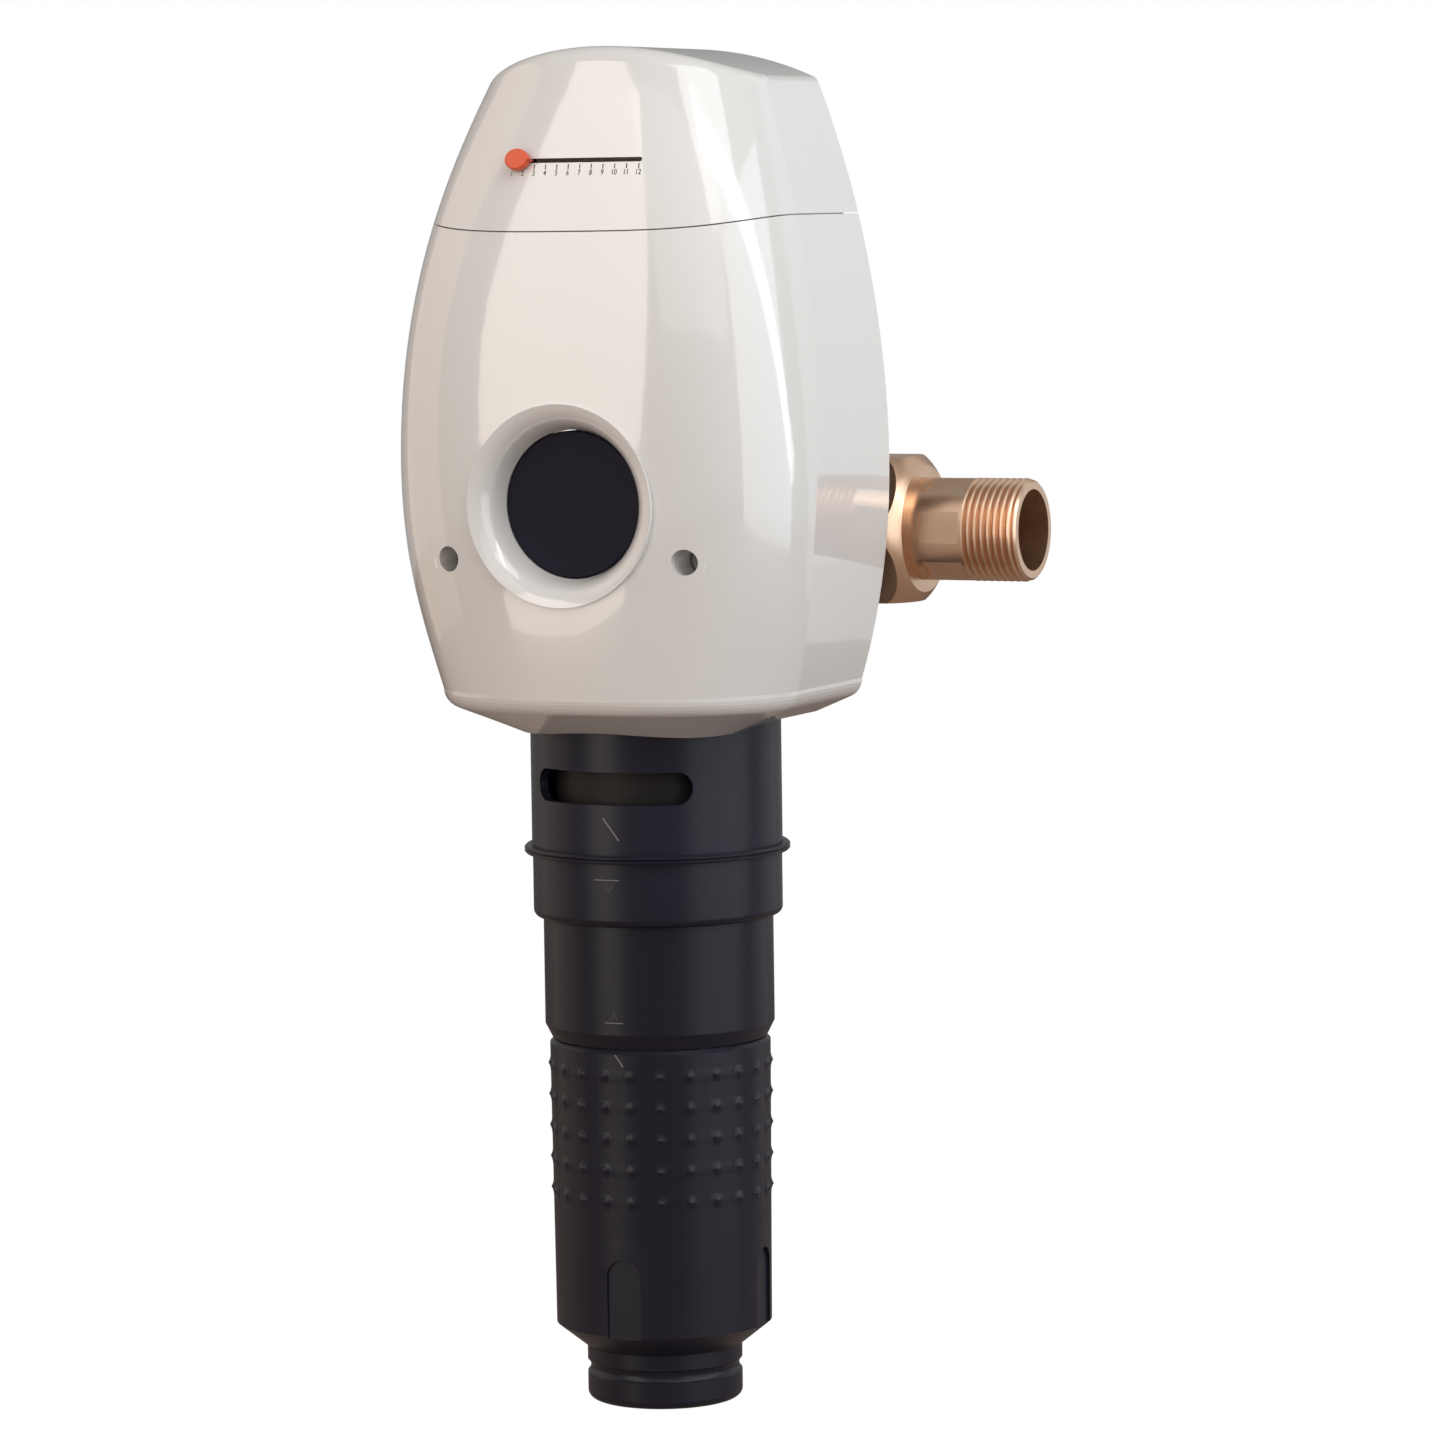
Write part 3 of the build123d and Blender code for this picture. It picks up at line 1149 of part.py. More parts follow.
# Tailpiece: collar in the nut, round shoulder, six flats, male pipe thread
thread_start = PIPE_REACH - THREAD_TURNS * THREAD_PITCH - THREAD_FLAT
thread_root = THREAD_CREST - THREAD_DEPTH
tail_points = [
    (collar_start, TAIL_BORE),
    (collar_start, TAIL_COLLAR_RADIUS),
    (collar_end, TAIL_COLLAR_RADIUS),
    (collar_end, TAIL_BODY_RADIUS),
    (thread_start, TAIL_BODY_RADIUS),
    (thread_start, THREAD_CREST),
]
for turn_number in range(THREAD_TURNS):
    crest_end = thread_start + THREAD_FLAT + turn_number * THREAD_PITCH
    tail_points.append((crest_end, THREAD_CREST))
    tail_points.append((crest_end + (THREAD_PITCH - THREAD_FLAT) / 2, thread_root))
    tail_points.append((crest_end + THREAD_PITCH - THREAD_FLAT, THREAD_CREST))
tail_points.append((PIPE_REACH, THREAD_CREST))
tail_points.append((PIPE_REACH, TAIL_BORE))
flats_plane = Plane(
    origin=(TAIL_FLATS_START, PIPE_SETBACK, PIPE_LEVEL), x_dir=(0, 1, 0), z_dir=(1, 0, 0)
)
with BuildPart() as tailpiece_right:
    with BuildSketch(PIPE_PLANE):
        outline(tail_points)
    revolve(axis=PIPE_AXIS)
    with BuildSketch(flats_plane):
        Circle(2 * TAIL_BODY_RADIUS)
        RegularPolygon(TAIL_FLATS / 2, 6, major_radius=False, rotation=TAIL_FLATS_TURN, mode=Mode.SUBTRACT)
    extrude(amount=TAIL_FLATS_LENGTH, mode=Mode.SUBTRACT)
    with BuildSketch(PIPE_PLANE):
        outline([
            (PIPE_REACH - 2 * THREAD_CHAMFER, THREAD_CREST + THREAD_CHAMFER),
            (PIPE_REACH + THREAD_CHAMFER, THREAD_CREST + THREAD_CHAMFER),
            (PIPE_REACH + THREAD_CHAMFER, THREAD_CREST - 2 * THREAD_CHAMFER),
        ])
    revolve(axis=PIPE_AXIS, mode=Mode.SUBTRACT)
finish(tailpiece_right, "tailpiece_right")

with BuildPart() as tailpiece_left:
    mirror(tailpiece_right.part, about=Plane.YZ)
finish(tailpiece_left, "tailpiece_left")
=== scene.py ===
"""Looks, light and camera for the upright water filter.

The solid model is loaded as a fixed frame. Each class below dresses one
sub-assembly: it gives the solid pieces their materials and adds the thin printed
or moulded detail. Lengths named with _MM are millimetres; Blender works in metres.
"""

import json
import logging
import math
from dataclasses import dataclass, field
from enum import Enum

import bmesh
import bpy
from mathutils import Matrix, Quaternion, Vector
from mathutils.bvhtree import BVHTree

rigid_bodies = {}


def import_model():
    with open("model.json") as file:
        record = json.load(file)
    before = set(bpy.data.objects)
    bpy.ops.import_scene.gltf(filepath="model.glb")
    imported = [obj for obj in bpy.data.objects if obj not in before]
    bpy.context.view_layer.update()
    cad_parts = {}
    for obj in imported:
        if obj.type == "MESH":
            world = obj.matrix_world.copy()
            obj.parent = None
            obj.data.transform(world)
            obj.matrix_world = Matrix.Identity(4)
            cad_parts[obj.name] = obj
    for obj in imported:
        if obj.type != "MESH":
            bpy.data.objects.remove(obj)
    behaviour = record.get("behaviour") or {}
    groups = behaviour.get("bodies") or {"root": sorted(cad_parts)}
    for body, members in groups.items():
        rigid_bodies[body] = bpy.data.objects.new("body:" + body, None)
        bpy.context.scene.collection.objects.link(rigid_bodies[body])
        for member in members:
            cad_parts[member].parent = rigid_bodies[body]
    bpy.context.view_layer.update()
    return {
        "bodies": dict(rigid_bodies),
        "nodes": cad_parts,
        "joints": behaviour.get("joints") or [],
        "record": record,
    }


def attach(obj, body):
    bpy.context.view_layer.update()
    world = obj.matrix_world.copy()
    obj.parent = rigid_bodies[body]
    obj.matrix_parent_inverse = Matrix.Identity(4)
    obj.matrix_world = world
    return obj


LOG = logging.getLogger("water_filter")
MM = 0.001

RGB = tuple[float, float, float]


class Slot(Enum):
    """Material slots of the part's record."""

    HOOD = "hood_white"
    BLACK = "black_plastic"
    GLOSS = "black_gloss"
    BOWL = "bowl_dark"
    INNER = "inner_white"
    CERAMIC = "valve_ceramic"
    SCREEN = "screen_steel"
    STEEL = "steel"
    BRASS = "brass"
    RUBBER = "seal_rubber"
    POINTER = "pointer_orange"


@dataclass(frozen=True)
class Finish:
    """Colour and surface of one material.

    Attributes:
        light: colour of the surface where it is cleanest.
        dark: colour it drifts to in broad, faint clouds.
        rough: mean roughness.
        rough_spread: how far the roughness wanders either way.
        grain_mm: size of the fine surface grain.
        grain_depth: strength of the grain as bump, from 0 to 1.
        cloud_mm: size of the broad colour clouds.
        metallic: 1 for metal, 0 for everything else.
        coat: strength of a clear layer on top.
        coat_rough: roughness of that layer.
        wear: how strongly corners are lightened.
        specular: Blender's specular level; 0.5 is plain plastic.
    """

    light: RGB
    dark: RGB
    rough: float
    rough_spread: float = 0.04
    grain_mm: float = 0.4
    grain_depth: float = 0.04
    cloud_mm: float = 30.0
    metallic: float = 0.0
    coat: float = 0.0
    coat_rough: float = 0.05
    wear: float = 0.0
    specular: float = 0.5


FINISHES: dict[Slot, Finish] = {
    Slot.HOOD: Finish(
        light=(0.80, 0.785, 0.765),
        dark=(0.785, 0.765, 0.74),
        rough=0.12,
        rough_spread=0.02,
        grain_mm=1.5,
        grain_depth=0.004,
        cloud_mm=60.0,
        coat=1.0,
        coat_rough=0.02,
        specular=0.7,
    ),
    Slot.BLACK: Finish(
        light=(0.0112, 0.0108, 0.0205),
        dark=(0.0095, 0.0093, 0.0180),
        rough=0.32,
        rough_spread=0.05,
        grain_mm=0.35,
        grain_depth=0.03,
        cloud_mm=22.0,
        wear=0.3,
        specular=0.3,
    ),
    Slot.GLOSS: Finish(
        light=(0.010, 0.009, 0.021),
        dark=(0.009, 0.008, 0.019),
        rough=0.55,
        rough_spread=0.02,
        grain_mm=0.8,
        grain_depth=0.01,
        cloud_mm=20.0,
        specular=0.15,
    ),
    Slot.BOWL: Finish(
        light=(0.014, 0.011, 0.011),
        dark=(0.010, 0.008, 0.009),
        rough=0.50,
        rough_spread=0.05,
        grain_mm=0.8,
        grain_depth=0.02,
        cloud_mm=18.0,
        specular=0.3,
    ),
    Slot.INNER: Finish(
        light=(0.72, 0.72, 0.69),
        dark=(0.66, 0.66, 0.62),
        rough=0.42,
        rough_spread=0.05,
        grain_mm=0.5,
        grain_depth=0.04,
        cloud_mm=20.0,
    ),
    Slot.CERAMIC: Finish(
        light=(0.80, 0.79, 0.76),
        dark=(0.75, 0.74, 0.71),
        rough=0.25,
        rough_spread=0.04,
        grain_mm=0.3,
        grain_depth=0.02,
        cloud_mm=12.0,
    ),
    Slot.SCREEN: Finish(
        light=(0.58, 0.58, 0.57),
        dark=(0.45, 0.45, 0.45),
        rough=0.35,
        rough_spread=0.05,
        grain_mm=0.3,
        grain_depth=0.3,
        cloud_mm=10.0,
        metallic=1.0,
    ),
    Slot.STEEL: Finish(
        light=(0.60, 0.60, 0.58),
        dark=(0.48, 0.48, 0.47),
        rough=0.32,
        rough_spread=0.07,
        grain_mm=0.4,
        grain_depth=0.05,
        cloud_mm=6.0,
        metallic=1.0,
    ),
    Slot.BRASS: Finish(
        light=(0.90, 0.61, 0.42),
        dark=(0.70, 0.46, 0.32),
        rough=0.30,
        rough_spread=0.07,
        grain_mm=0.45,
        grain_depth=0.08,
        cloud_mm=9.0,
        metallic=1.0,
        wear=0.35,
    ),
    Slot.RUBBER: Finish(
        light=(0.018, 0.018, 0.018),
        dark=(0.012, 0.012, 0.012),
        rough=0.62,
        rough_spread=0.06,
        grain_mm=0.3,
        grain_depth=0.08,
        cloud_mm=8.0,
    ),
    Slot.POINTER: Finish(
        light=(0.82, 0.115, 0.030),
        dark=(0.72, 0.085, 0.022),
        rough=0.34,
        rough_spread=0.05,
        grain_mm=0.3,
        grain_depth=0.03,
        cloud_mm=5.0,
    ),
}


class SurfaceGroup:
    """Shader node group shared by all materials: clouds, grain and edge wear."""

    NAME = "surface_detail"
    CLOUD_DETAIL = 3.0
    GRAIN_DETAIL = 2.0
    CORNER_START = 0.52
    CORNER_FULL = 0.62

    def __init__(self) -> None:
        """Builds the group once."""
        tree = bpy.data.node_groups.new(self.NAME, "ShaderNodeTree")
        self.tree = tree
        sockets = tree.interface
        sockets.new_socket("Light", in_out="INPUT", socket_type="NodeSocketColor")
        sockets.new_socket("Dark", in_out="INPUT", socket_type="NodeSocketColor")
        sockets.new_socket("Cloud scale", in_out="INPUT", socket_type="NodeSocketFloat")
        sockets.new_socket("Grain scale", in_out="INPUT", socket_type="NodeSocketFloat")
        sockets.new_socket("Rough", in_out="INPUT", socket_type="NodeSocketFloat")
        sockets.new_socket("Rough spread", in_out="INPUT", socket_type="NodeSocketFloat")
        sockets.new_socket("Wear", in_out="INPUT", socket_type="NodeSocketFloat")
        sockets.new_socket("Base Color", in_out="OUTPUT", socket_type="NodeSocketColor")
        sockets.new_socket("Roughness", in_out="OUTPUT", socket_type="NodeSocketFloat")
        sockets.new_socket("Height", in_out="OUTPUT", socket_type="NodeSocketFloat")
        self._wire()

    def _node(self, kind: str, **values: object) -> bpy.types.Node:
        """Adds a node and sets its properties.

        Args:
            kind: Blender's node type.
            values: attributes to set on the node.

        Returns:
            The new node.
        """
        node = self.tree.nodes.new(kind)
        for name, value in values.items():
            setattr(node, name, value)
        return node

    def _wire(self) -> None:
        """Connects the group's nodes."""
        link = self.tree.links.new
        entry = self._node("NodeGroupInput")
        leave = self._node("NodeGroupOutput")
        place = self._node("ShaderNodeTexCoord")
        cloud = self._node("ShaderNodeTexNoise")
        cloud.inputs["Detail"].default_value = self.CLOUD_DETAIL
        grain = self._node("ShaderNodeTexNoise")
        grain.inputs["Detail"].default_value = self.GRAIN_DETAIL
        link(place.outputs["Object"], cloud.inputs["Vector"])
        link(place.outputs["Object"], grain.inputs["Vector"])
        link(entry.outputs["Cloud scale"], cloud.inputs["Scale"])
        link(entry.outputs["Grain scale"], grain.inputs["Scale"])
        blend = self._node("ShaderNodeMix", data_type="RGBA")
        link(cloud.outputs["Fac"], blend.inputs["Factor"])
        link(entry.outputs["Light"], blend.inputs["A"])
        link(entry.outputs["Dark"], blend.inputs["B"])
        shape = self._node("ShaderNodeNewGeometry")
        corner = self._node("ShaderNodeMapRange")
        corner.inputs["From Min"].default_value = self.CORNER_START
        corner.inputs["From Max"].default_value = self.CORNER_FULL
        link(shape.outputs["Pointiness"], corner.inputs["Value"])
        worn = self._node("ShaderNodeMath", operation="MULTIPLY")
        link(corner.outputs["Result"], worn.inputs[0])
        link(entry.outputs["Wear"], worn.inputs[1])
        pale = self._node("ShaderNodeMix", data_type="RGBA", blend_type="SCREEN")
        link(worn.outputs["Value"], pale.inputs["Factor"])
        link(blend.outputs["Result"], pale.inputs["A"])
        link(entry.outputs["Light"], pale.inputs["B"])
        link(pale.outputs["Result"], leave.inputs["Base Color"])
        centred = self._node("ShaderNodeMath", operation="SUBTRACT")
        centred.inputs[1].default_value = 0.5
        link(cloud.outputs["Fac"], centred.inputs[0])
        spread = self._node("ShaderNodeMath", operation="MULTIPLY")
        link(centred.outputs["Value"], spread.inputs[0])
        link(entry.outputs["Rough spread"], spread.inputs[1])
        rough = self._node("ShaderNodeMath", operation="ADD", use_clamp=True)
        link(spread.outputs["Value"], rough.inputs[0])
        link(entry.outputs["Rough"], rough.inputs[1])
        link(rough.outputs["Value"], leave.inputs["Roughness"])
        link(grain.outputs["Fac"], leave.inputs["Height"])


class RingGroup:
    """Shader node group for turned metal: fine rings round an axis along X."""

    NAME = "turned_rings"
    DISTORTION = 1.2
    DETAIL = 2.0

    def __init__(self) -> None:
        """Builds the group once."""
        tree = bpy.data.node_groups.new(self.NAME, "ShaderNodeTree")
        self.tree = tree
        tree.interface.new_socket("Scale", in_out="INPUT", socket_type="NodeSocketFloat")
        tree.interface.new_socket("Height", in_out="OUTPUT", socket_type="NodeSocketFloat")
        entry = tree.nodes.new("NodeGroupInput")
        leave = tree.nodes.new("NodeGroupOutput")
        place = tree.nodes.new("ShaderNodeTexCoord")
        wave = tree.nodes.new("ShaderNodeTexWave")
        wave.bands_direction = "X"
        wave.inputs["Distortion"].default_value = self.DISTORTION
        wave.inputs["Detail"].default_value = self.DETAIL
        tree.links.new(place.outputs["Object"], wave.inputs["Vector"])
        tree.links.new(entry.outputs["Scale"], wave.inputs["Scale"])
        tree.links.new(wave.outputs["Fac"], leave.inputs["Height"])


class MaterialLibrary:
    """Makes one procedural material per slot and hands it to pieces."""

    GRAIN_HEIGHT_MM = 0.1
    RINGS_PER_METRE = 400.0
    RING_HEIGHT_MM = 0.05
    RING_STRENGTH = 0.06
    INK_PALER = 1.15
    INK_GRAIN_MM = 0.2
    INK_GRAIN_DEPTH = 0.05
    INK_CLOUD_MM = 3.0
    INK_ROUGH_SPREAD = 0.05

    def __init__(self) -> None:
        """Builds the shared groups and all materials."""
        self.surface = SurfaceGroup()
        self.rings = RingGroup()
        self.made: dict[Slot, bpy.types.Material] = {}
        for slot, finish in FINISHES.items():
            self.made[slot] = self._material(slot.value, finish, turned=slot is Slot.BRASS)

    def _material(self, name: str, finish: Finish, turned: bool) -> bpy.types.Material:
        """Builds one material.

        Args:
            name: name of the material.
            finish: its colours and surface.
            turned: whether fine turning rings are added.

        Returns:
            The material.
        """
        material = bpy.data.materials.new(name)
        material.use_nodes = True
        nodes = material.node_tree.nodes
        link = material.node_tree.links.new
        shader = nodes["Principled BSDF"]
        detail = nodes.new("ShaderNodeGroup")
        detail.node_tree = self.surface.tree
        detail.inputs["Light"].default_value = (*finish.light, 1.0)
        detail.inputs["Dark"].default_value = (*finish.dark, 1.0)
        detail.inputs["Cloud scale"].default_value = 1.0 / (finish.cloud_mm * MM)
        detail.inputs["Grain scale"].default_value = 1.0 / (finish.grain_mm * MM)
        detail.inputs["Rough"].default_value = finish.rough
        detail.inputs["Rough spread"].default_value = finish.rough_spread
        detail.inputs["Wear"].default_value = finish.wear
        link(detail.outputs["Base Color"], shader.inputs["Base Color"])
        link(detail.outputs["Roughness"], shader.inputs["Roughness"])
        bump = nodes.new("ShaderNodeBump")
        bump.inputs["Strength"].default_value = finish.grain_depth
        bump.inputs["Distance"].default_value = self.GRAIN_HEIGHT_MM * MM
        link(detail.outputs["Height"], bump.inputs["Height"])
        normal = bump
        if turned:
            ring = nodes.new("ShaderNodeGroup")
            ring.node_tree = self.rings.tree
            ring.inputs["Scale"].default_value = self.RINGS_PER_METRE
            lines = nodes.new("ShaderNodeBump")
            lines.inputs["Strength"].default_value = self.RING_STRENGTH
            lines.inputs["Distance"].default_value = self.RING_HEIGHT_MM * MM
            link(ring.outputs["Height"], lines.inputs["Height"])
            link(bump.outputs["Normal"], lines.inputs["Normal"])
            normal = lines
        link(normal.outputs["Normal"], shader.inputs["Normal"])
        shader.inputs["Metallic"].default_value = finish.metallic
        shader.inputs["Specular IOR Level"].default_value = finish.specular
        shader.inputs["Coat Weight"].default_value = finish.coat
        shader.inputs["Coat Roughness"].default_value = finish.coat_rough
        return material

    def flat(self, name: str, colour: RGB, rough: float) -> bpy.types.Material:
        """Makes a print ink: one colour with a faint grain.

        Args:
            name: name of the material.
            colour: ink colour.
            rough: roughness.

        Returns:
            The material.
        """
        ink = Finish(
            light=tuple(min(1.0, part * self.INK_PALER) for part in colour),
            dark=colour,
            rough=rough,
            rough_spread=self.INK_ROUGH_SPREAD,
            grain_mm=self.INK_GRAIN_MM,
            grain_depth=self.INK_GRAIN_DEPTH,
            cloud_mm=self.INK_CLOUD_MM,
        )
        return self._material(name, ink, turned=False)

    def paint(self, obj: bpy.types.Object, material: bpy.types.Material) -> None:
        """Gives a piece one material.

        Args:
            obj: the piece.
            material: the material.
        """
        obj.data.materials.clear()
        obj.data.materials.append(material)


@dataclass(frozen=True)
class PrintedScale:
    """Sizes of the printed month scale on the lid, in millimetres.

    Attributes:
        first_x: place of the first month across the lid.
        pitch: distance from month to month.
        months: number of months.
        number_z: height of the middle of the numbers.
        number_height: height of a number.
        type_share: type size for each millimetre of number height.
        squeeze: width of a number as a share of the plain type.
        stroke: how far the strokes are thickened.
        tick_top: height of the ticks' upper ends.
        tick_foot: height of the ticks' lower ends.
        tick_width: width of a tick.
        lift: how far the print stands off the lid.
        colour: colour of the ink.
        rough: roughness of the ink.
    """

    first_x: float = -21.6
    pitch: float = 3.95
    months: int = 12
    number_z: float = 393.9
    number_height: float = 1.75
    type_share: float = 1.35
    squeeze: float = 0.82
    stroke: float = 0.03
    tick_top: float = 396.6
    tick_foot: float = 395.1
    tick_width: float = 0.34
    lift: float = 0.03
    colour: RGB = (0.022, 0.018, 0.016)
    rough: float = 0.5


@dataclass(frozen=True)
class SleeveMark:
    """A thin printed line on a round sleeve.

    Attributes:
        body: body the line rides on.
        node: sleeve it lies on.
        points: corner points as (turn from the front in degrees, height in mm).
        width_mm: width of the line.
        faint: whether it is nearly the sleeve's own colour.
    """

    body: str
    node: str
    points: tuple[tuple[float, float], ...]
    width_mm: float = 0.35
    faint: bool = False


MARKS: tuple[SleeveMark, ...] = (
    SleeveMark("filter", "head_skirt", ((0.3, 192.0), (7.9, 184.9)), 0.45),
    SleeveMark("filter", "housing_sleeve", ((-4.8, 172.3), (7.6, 172.3)), 0.3),
    SleeveMark("filter", "housing_sleeve", ((0.6, 171.4), (2.6, 168.6), (4.6, 171.4)), 0.25, True),
    SleeveMark("filter", "housing_sleeve", ((-2.9, 126.5), (6.8, 126.5)), 0.3),
    SleeveMark("filter", "housing_sleeve", ((0.4, 127.2), (2.2, 129.8), (4.0, 127.2)), 0.25, True),
    SleeveMark("grip", "grip_sleeve", ((1.4, 116.1), (5.7, 112.4)), 0.45),
)


class SubAssembly:
    """Base of the classes that dress one group of CAD nodes."""

    def __init__(self, frame: dict, library: MaterialLibrary) -> None:
        """Keeps the frame and the materials.

        Args:
            library: the scene's materials.
        """
        self.nodes: dict[str, bpy.types.Object] = frame["nodes"]
        self.library = library

    def dress(self, slot: Slot, *names: str) -> None:
        """Gives solid pieces the material of a slot.

        Args:
            slot: the material slot.
            names: node names.
        """
        for name in names:
            self.library.paint(self.nodes[name], self.library.made[slot])

    def surface(self, name: str) -> BVHTree:
        """Makes a search tree of a node's surface.

        Args:
            name: node name.

        Returns:
            The tree, in the row frame.
        """
        mesh = self.nodes[name].data
        corners = [vertex.co for vertex in mesh.vertices]
        faces = [tuple(polygon.vertices) for polygon in mesh.polygons]
        return BVHTree.FromPolygons(corners, faces)

    def add(
        self, name: str, mesh: bpy.types.Mesh, body: str, material: bpy.types.Material
    ) -> bpy.types.Object:
        """Adds an own piece that rides on a body.

        Args:
            name: name of the piece.
            mesh: its mesh, in the row frame.
            body: the body it moves with.
            material: its material.

        Returns:
            The piece.
        """
        obj = bpy.data.objects.new(name, mesh)
        bpy.context.scene.collection.objects.link(obj)
        self.library.paint(obj, material)
        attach(obj, body)
        return obj


class Hood(SubAssembly):
    """White hood, lid, its month scale and the pointer."""

    SCALE = PrintedScale()
    RAY_START_M = -1.0

    def build(self) -> None:
        """Dresses the hood and prints the scale."""
        self.dress(Slot.HOOD, "hood_shell", "hood_lid")
        self.dress(Slot.GLOSS, "front_cap")
        self.dress(Slot.BLACK, "hood_bracket", "pointer_clip")
        self.dress(Slot.STEEL, "hood_screws")
        self.dress(Slot.POINTER, "date_pointer")
        self._print_scale()

    def _front(self, tree: BVHTree, x_mm: float, z_mm: float) -> tuple[Vector, Vector]:
        """Finds the lid's front surface.

        Args:
            tree: the lid's surface.
            x_mm: place across.
            z_mm: height.

        Returns:
            The point and the outward normal.
        """
        start = Vector((x_mm * MM, self.RAY_START_M, z_mm * MM))
        hit, normal, _, _ = tree.ray_cast(start, Vector((0, 1, 0)))
        if normal.y > 0:
            normal = -normal
        return hit, normal

    def _print_scale(self) -> None:
        """Adds the ticks and numbers under the slot."""
        scale = self.SCALE
        tree = self.surface("hood_lid")
        ink = self.library.flat("scale_ink", scale.colour, scale.rough)
        ticks = bmesh.new()
        for month in range(scale.months):
            x_mm = scale.first_x + scale.pitch * month
            corners = []
            left = x_mm - scale.tick_width / 2
            right = x_mm + scale.tick_width / 2
            foot = scale.tick_foot
            top = scale.tick_top
            for place, z_mm in ((left, foot), (right, foot), (right, top), (left, top)):
                point, normal = self._front(tree, place, z_mm)
                corners.append(ticks.verts.new(point + normal * scale.lift * MM))
            ticks.faces.new(corners)
        mesh = bpy.data.meshes.new("scale_ticks")
        ticks.to_mesh(mesh)
        ticks.free()
        self.add("scale_ticks", mesh, "lid", ink)
        for month in range(scale.months):
            self._print_number(tree, month, ink)

    def _print_number(self, tree: BVHTree, month: int, ink: bpy.types.Material) -> None:
        """Adds one number of the scale as a flat mesh on the lid.

        Args:
            tree: the lid's surface.
            month: index of the month, from 0.
            ink: material of the print.
        """
        scale = self.SCALE
        text = bpy.data.curves.new(f"number_{month + 1}", "FONT")
        text.body = str(month + 1)
        text.align_x = "CENTER"
        text.align_y = "CENTER"
        text.size = scale.number_height * MM * scale.type_share
        text.offset = scale.stroke * MM
        holder = bpy.data.objects.new(f"number_{month + 1}_curve", text)
        bpy.context.scene.collection.objects.link(holder)
        bpy.context.view_layer.update()
        evaluated = holder.evaluated_get(bpy.context.evaluated_depsgraph_get())
        mesh = bpy.data.meshes.new_from_object(evaluated)
        bpy.data.objects.remove(holder)
        x_mm = scale.first_x + scale.pitch * month
        for vertex in mesh.vertices:
            across = x_mm + vertex.co.x / MM * scale.squeeze
            point, normal = self._front(tree, across, scale.number_z + vertex.co.y / MM)
            vertex.co = point + normal * scale.lift * MM
        self.add(f"scale_number_{month + 1}", mesh, "lid", ink)


class Sleeves(SubAssembly):
    """Black skirt, ring, housing, grip and spigot with their printed marks."""

    LINE_COLOUR: RGB = (0.15, 0.15, 0.16)
    FAINT_COLOUR: RGB = (0.040, 0.040, 0.046)
    LINE_ROUGH = 0.35
    LINE_STEPS = 6
    LINE_LIFT_MM = 0.04
    MM_PER_DEGREE = 0.65
    RAY_START_M = 0.1

    def build(self) -> None:
        """Dresses the round black parts and adds the marks."""
        self.dress(
            Slot.BLACK,
            "head_skirt",
            "clamp_ring",
            "housing_sleeve",
            "grip_sleeve",
            "drain_spigot",
            "drive_hub",
        )
        self.dress(Slot.BOWL, "bowl")
        clear = self.library.flat("mark_line", self.LINE_COLOUR, self.LINE_ROUGH)
        faint = self.library.flat("mark_faint", self.FAINT_COLOUR, self.LINE_ROUGH)
        for index, mark in enumerate(MARKS):
            self._line(index, mark, faint if mark.faint else clear)

    def _line(self, index: int, mark: SleeveMark, material: bpy.types.Material) -> None:
        """Lays one thin line on a sleeve.

        Args:
            index: number used in the piece's name.
            mark: the line.
            material: its material.
        """
        tree = self.surface(mark.node)
        shape = bmesh.new()
        for start, end in zip(mark.points, mark.points[1:]):
            rows = []
            arm = Vector(((end[0] - start[0]) * self.MM_PER_DEGREE, end[1] - start[1]))
            side = Vector((-arm.y, arm.x)).normalized() * mark.width_mm / 2
            for step in range(self.LINE_STEPS + 1):
                share = step / self.LINE_STEPS
                turn = start[0] + (end[0] - start[0]) * share
                level = start[1] + (end[1] - start[1]) * share
                row = []
                for sign in (-1, 1):
                    across = turn + sign * side.x / self.MM_PER_DEGREE
                    row.append(self._on_sleeve(tree, across, level + sign * side.y))
                rows.append([shape.verts.new(point) for point in row])
            for lower, upper in zip(rows, rows[1:]):
                shape.faces.new((lower[0], lower[1], upper[1], upper[0]))
        mesh = bpy.data.meshes.new(f"mark_{index}")
        shape.to_mesh(mesh)
        shape.free()
        self.add(f"mark_{index}", mesh, mark.body, material)

    def _on_sleeve(self, tree: BVHTree, turn: float, level: float) -> Vector:
        """Point just above a sleeve's outside.

        Args:
            tree: the sleeve's surface.
            turn: degrees from the front towards +X.
            level: height in mm.

        Returns:
            The point.
        """
        outward = Vector((math.sin(math.radians(turn)), -math.cos(math.radians(turn)), 0))
        start = outward * self.RAY_START_M + Vector((0, 0, level * MM))
        hit, _, _, _ = tree.ray_cast(start, -outward)
        return hit + outward * self.LINE_LIFT_MM * MM


class Pipework(SubAssembly):
    """Brass body, unions, tails and the head behind the hood."""

    def build(self) -> None:
        """Dresses the metal parts and their seals."""
        self.dress(Slot.BRASS, "flange_body", "filter_head")
        for side in ("left", "right"):
            self.dress(Slot.BRASS, f"union_nut_{side}", f"tailpiece_{side}")
            self.dress(Slot.RUBBER, f"union_gasket_{side}")
        self.dress(Slot.RUBBER, "flange_gasket")
        self.dress(Slot.STEEL, "flange_bolts")


class Inside(SubAssembly):
    """Screen, rotor and backwash valve inside the bowl."""

    def build(self) -> None:
        """Dresses the hidden parts."""
        self.dress(
            Slot.INNER,
            "screen_cage",
            "flow_guide",
            "upper_bush",
            "lower_bush",
            "rotor_shaft",
            "suction_nozzles",
        )
        self.dress(Slot.CERAMIC, "valve_seat", "valve_disc")
        self.dress(Slot.SCREEN, "filter_screen")
        self.dress(Slot.RUBBER, "bowl_seal", "shaft_seal")


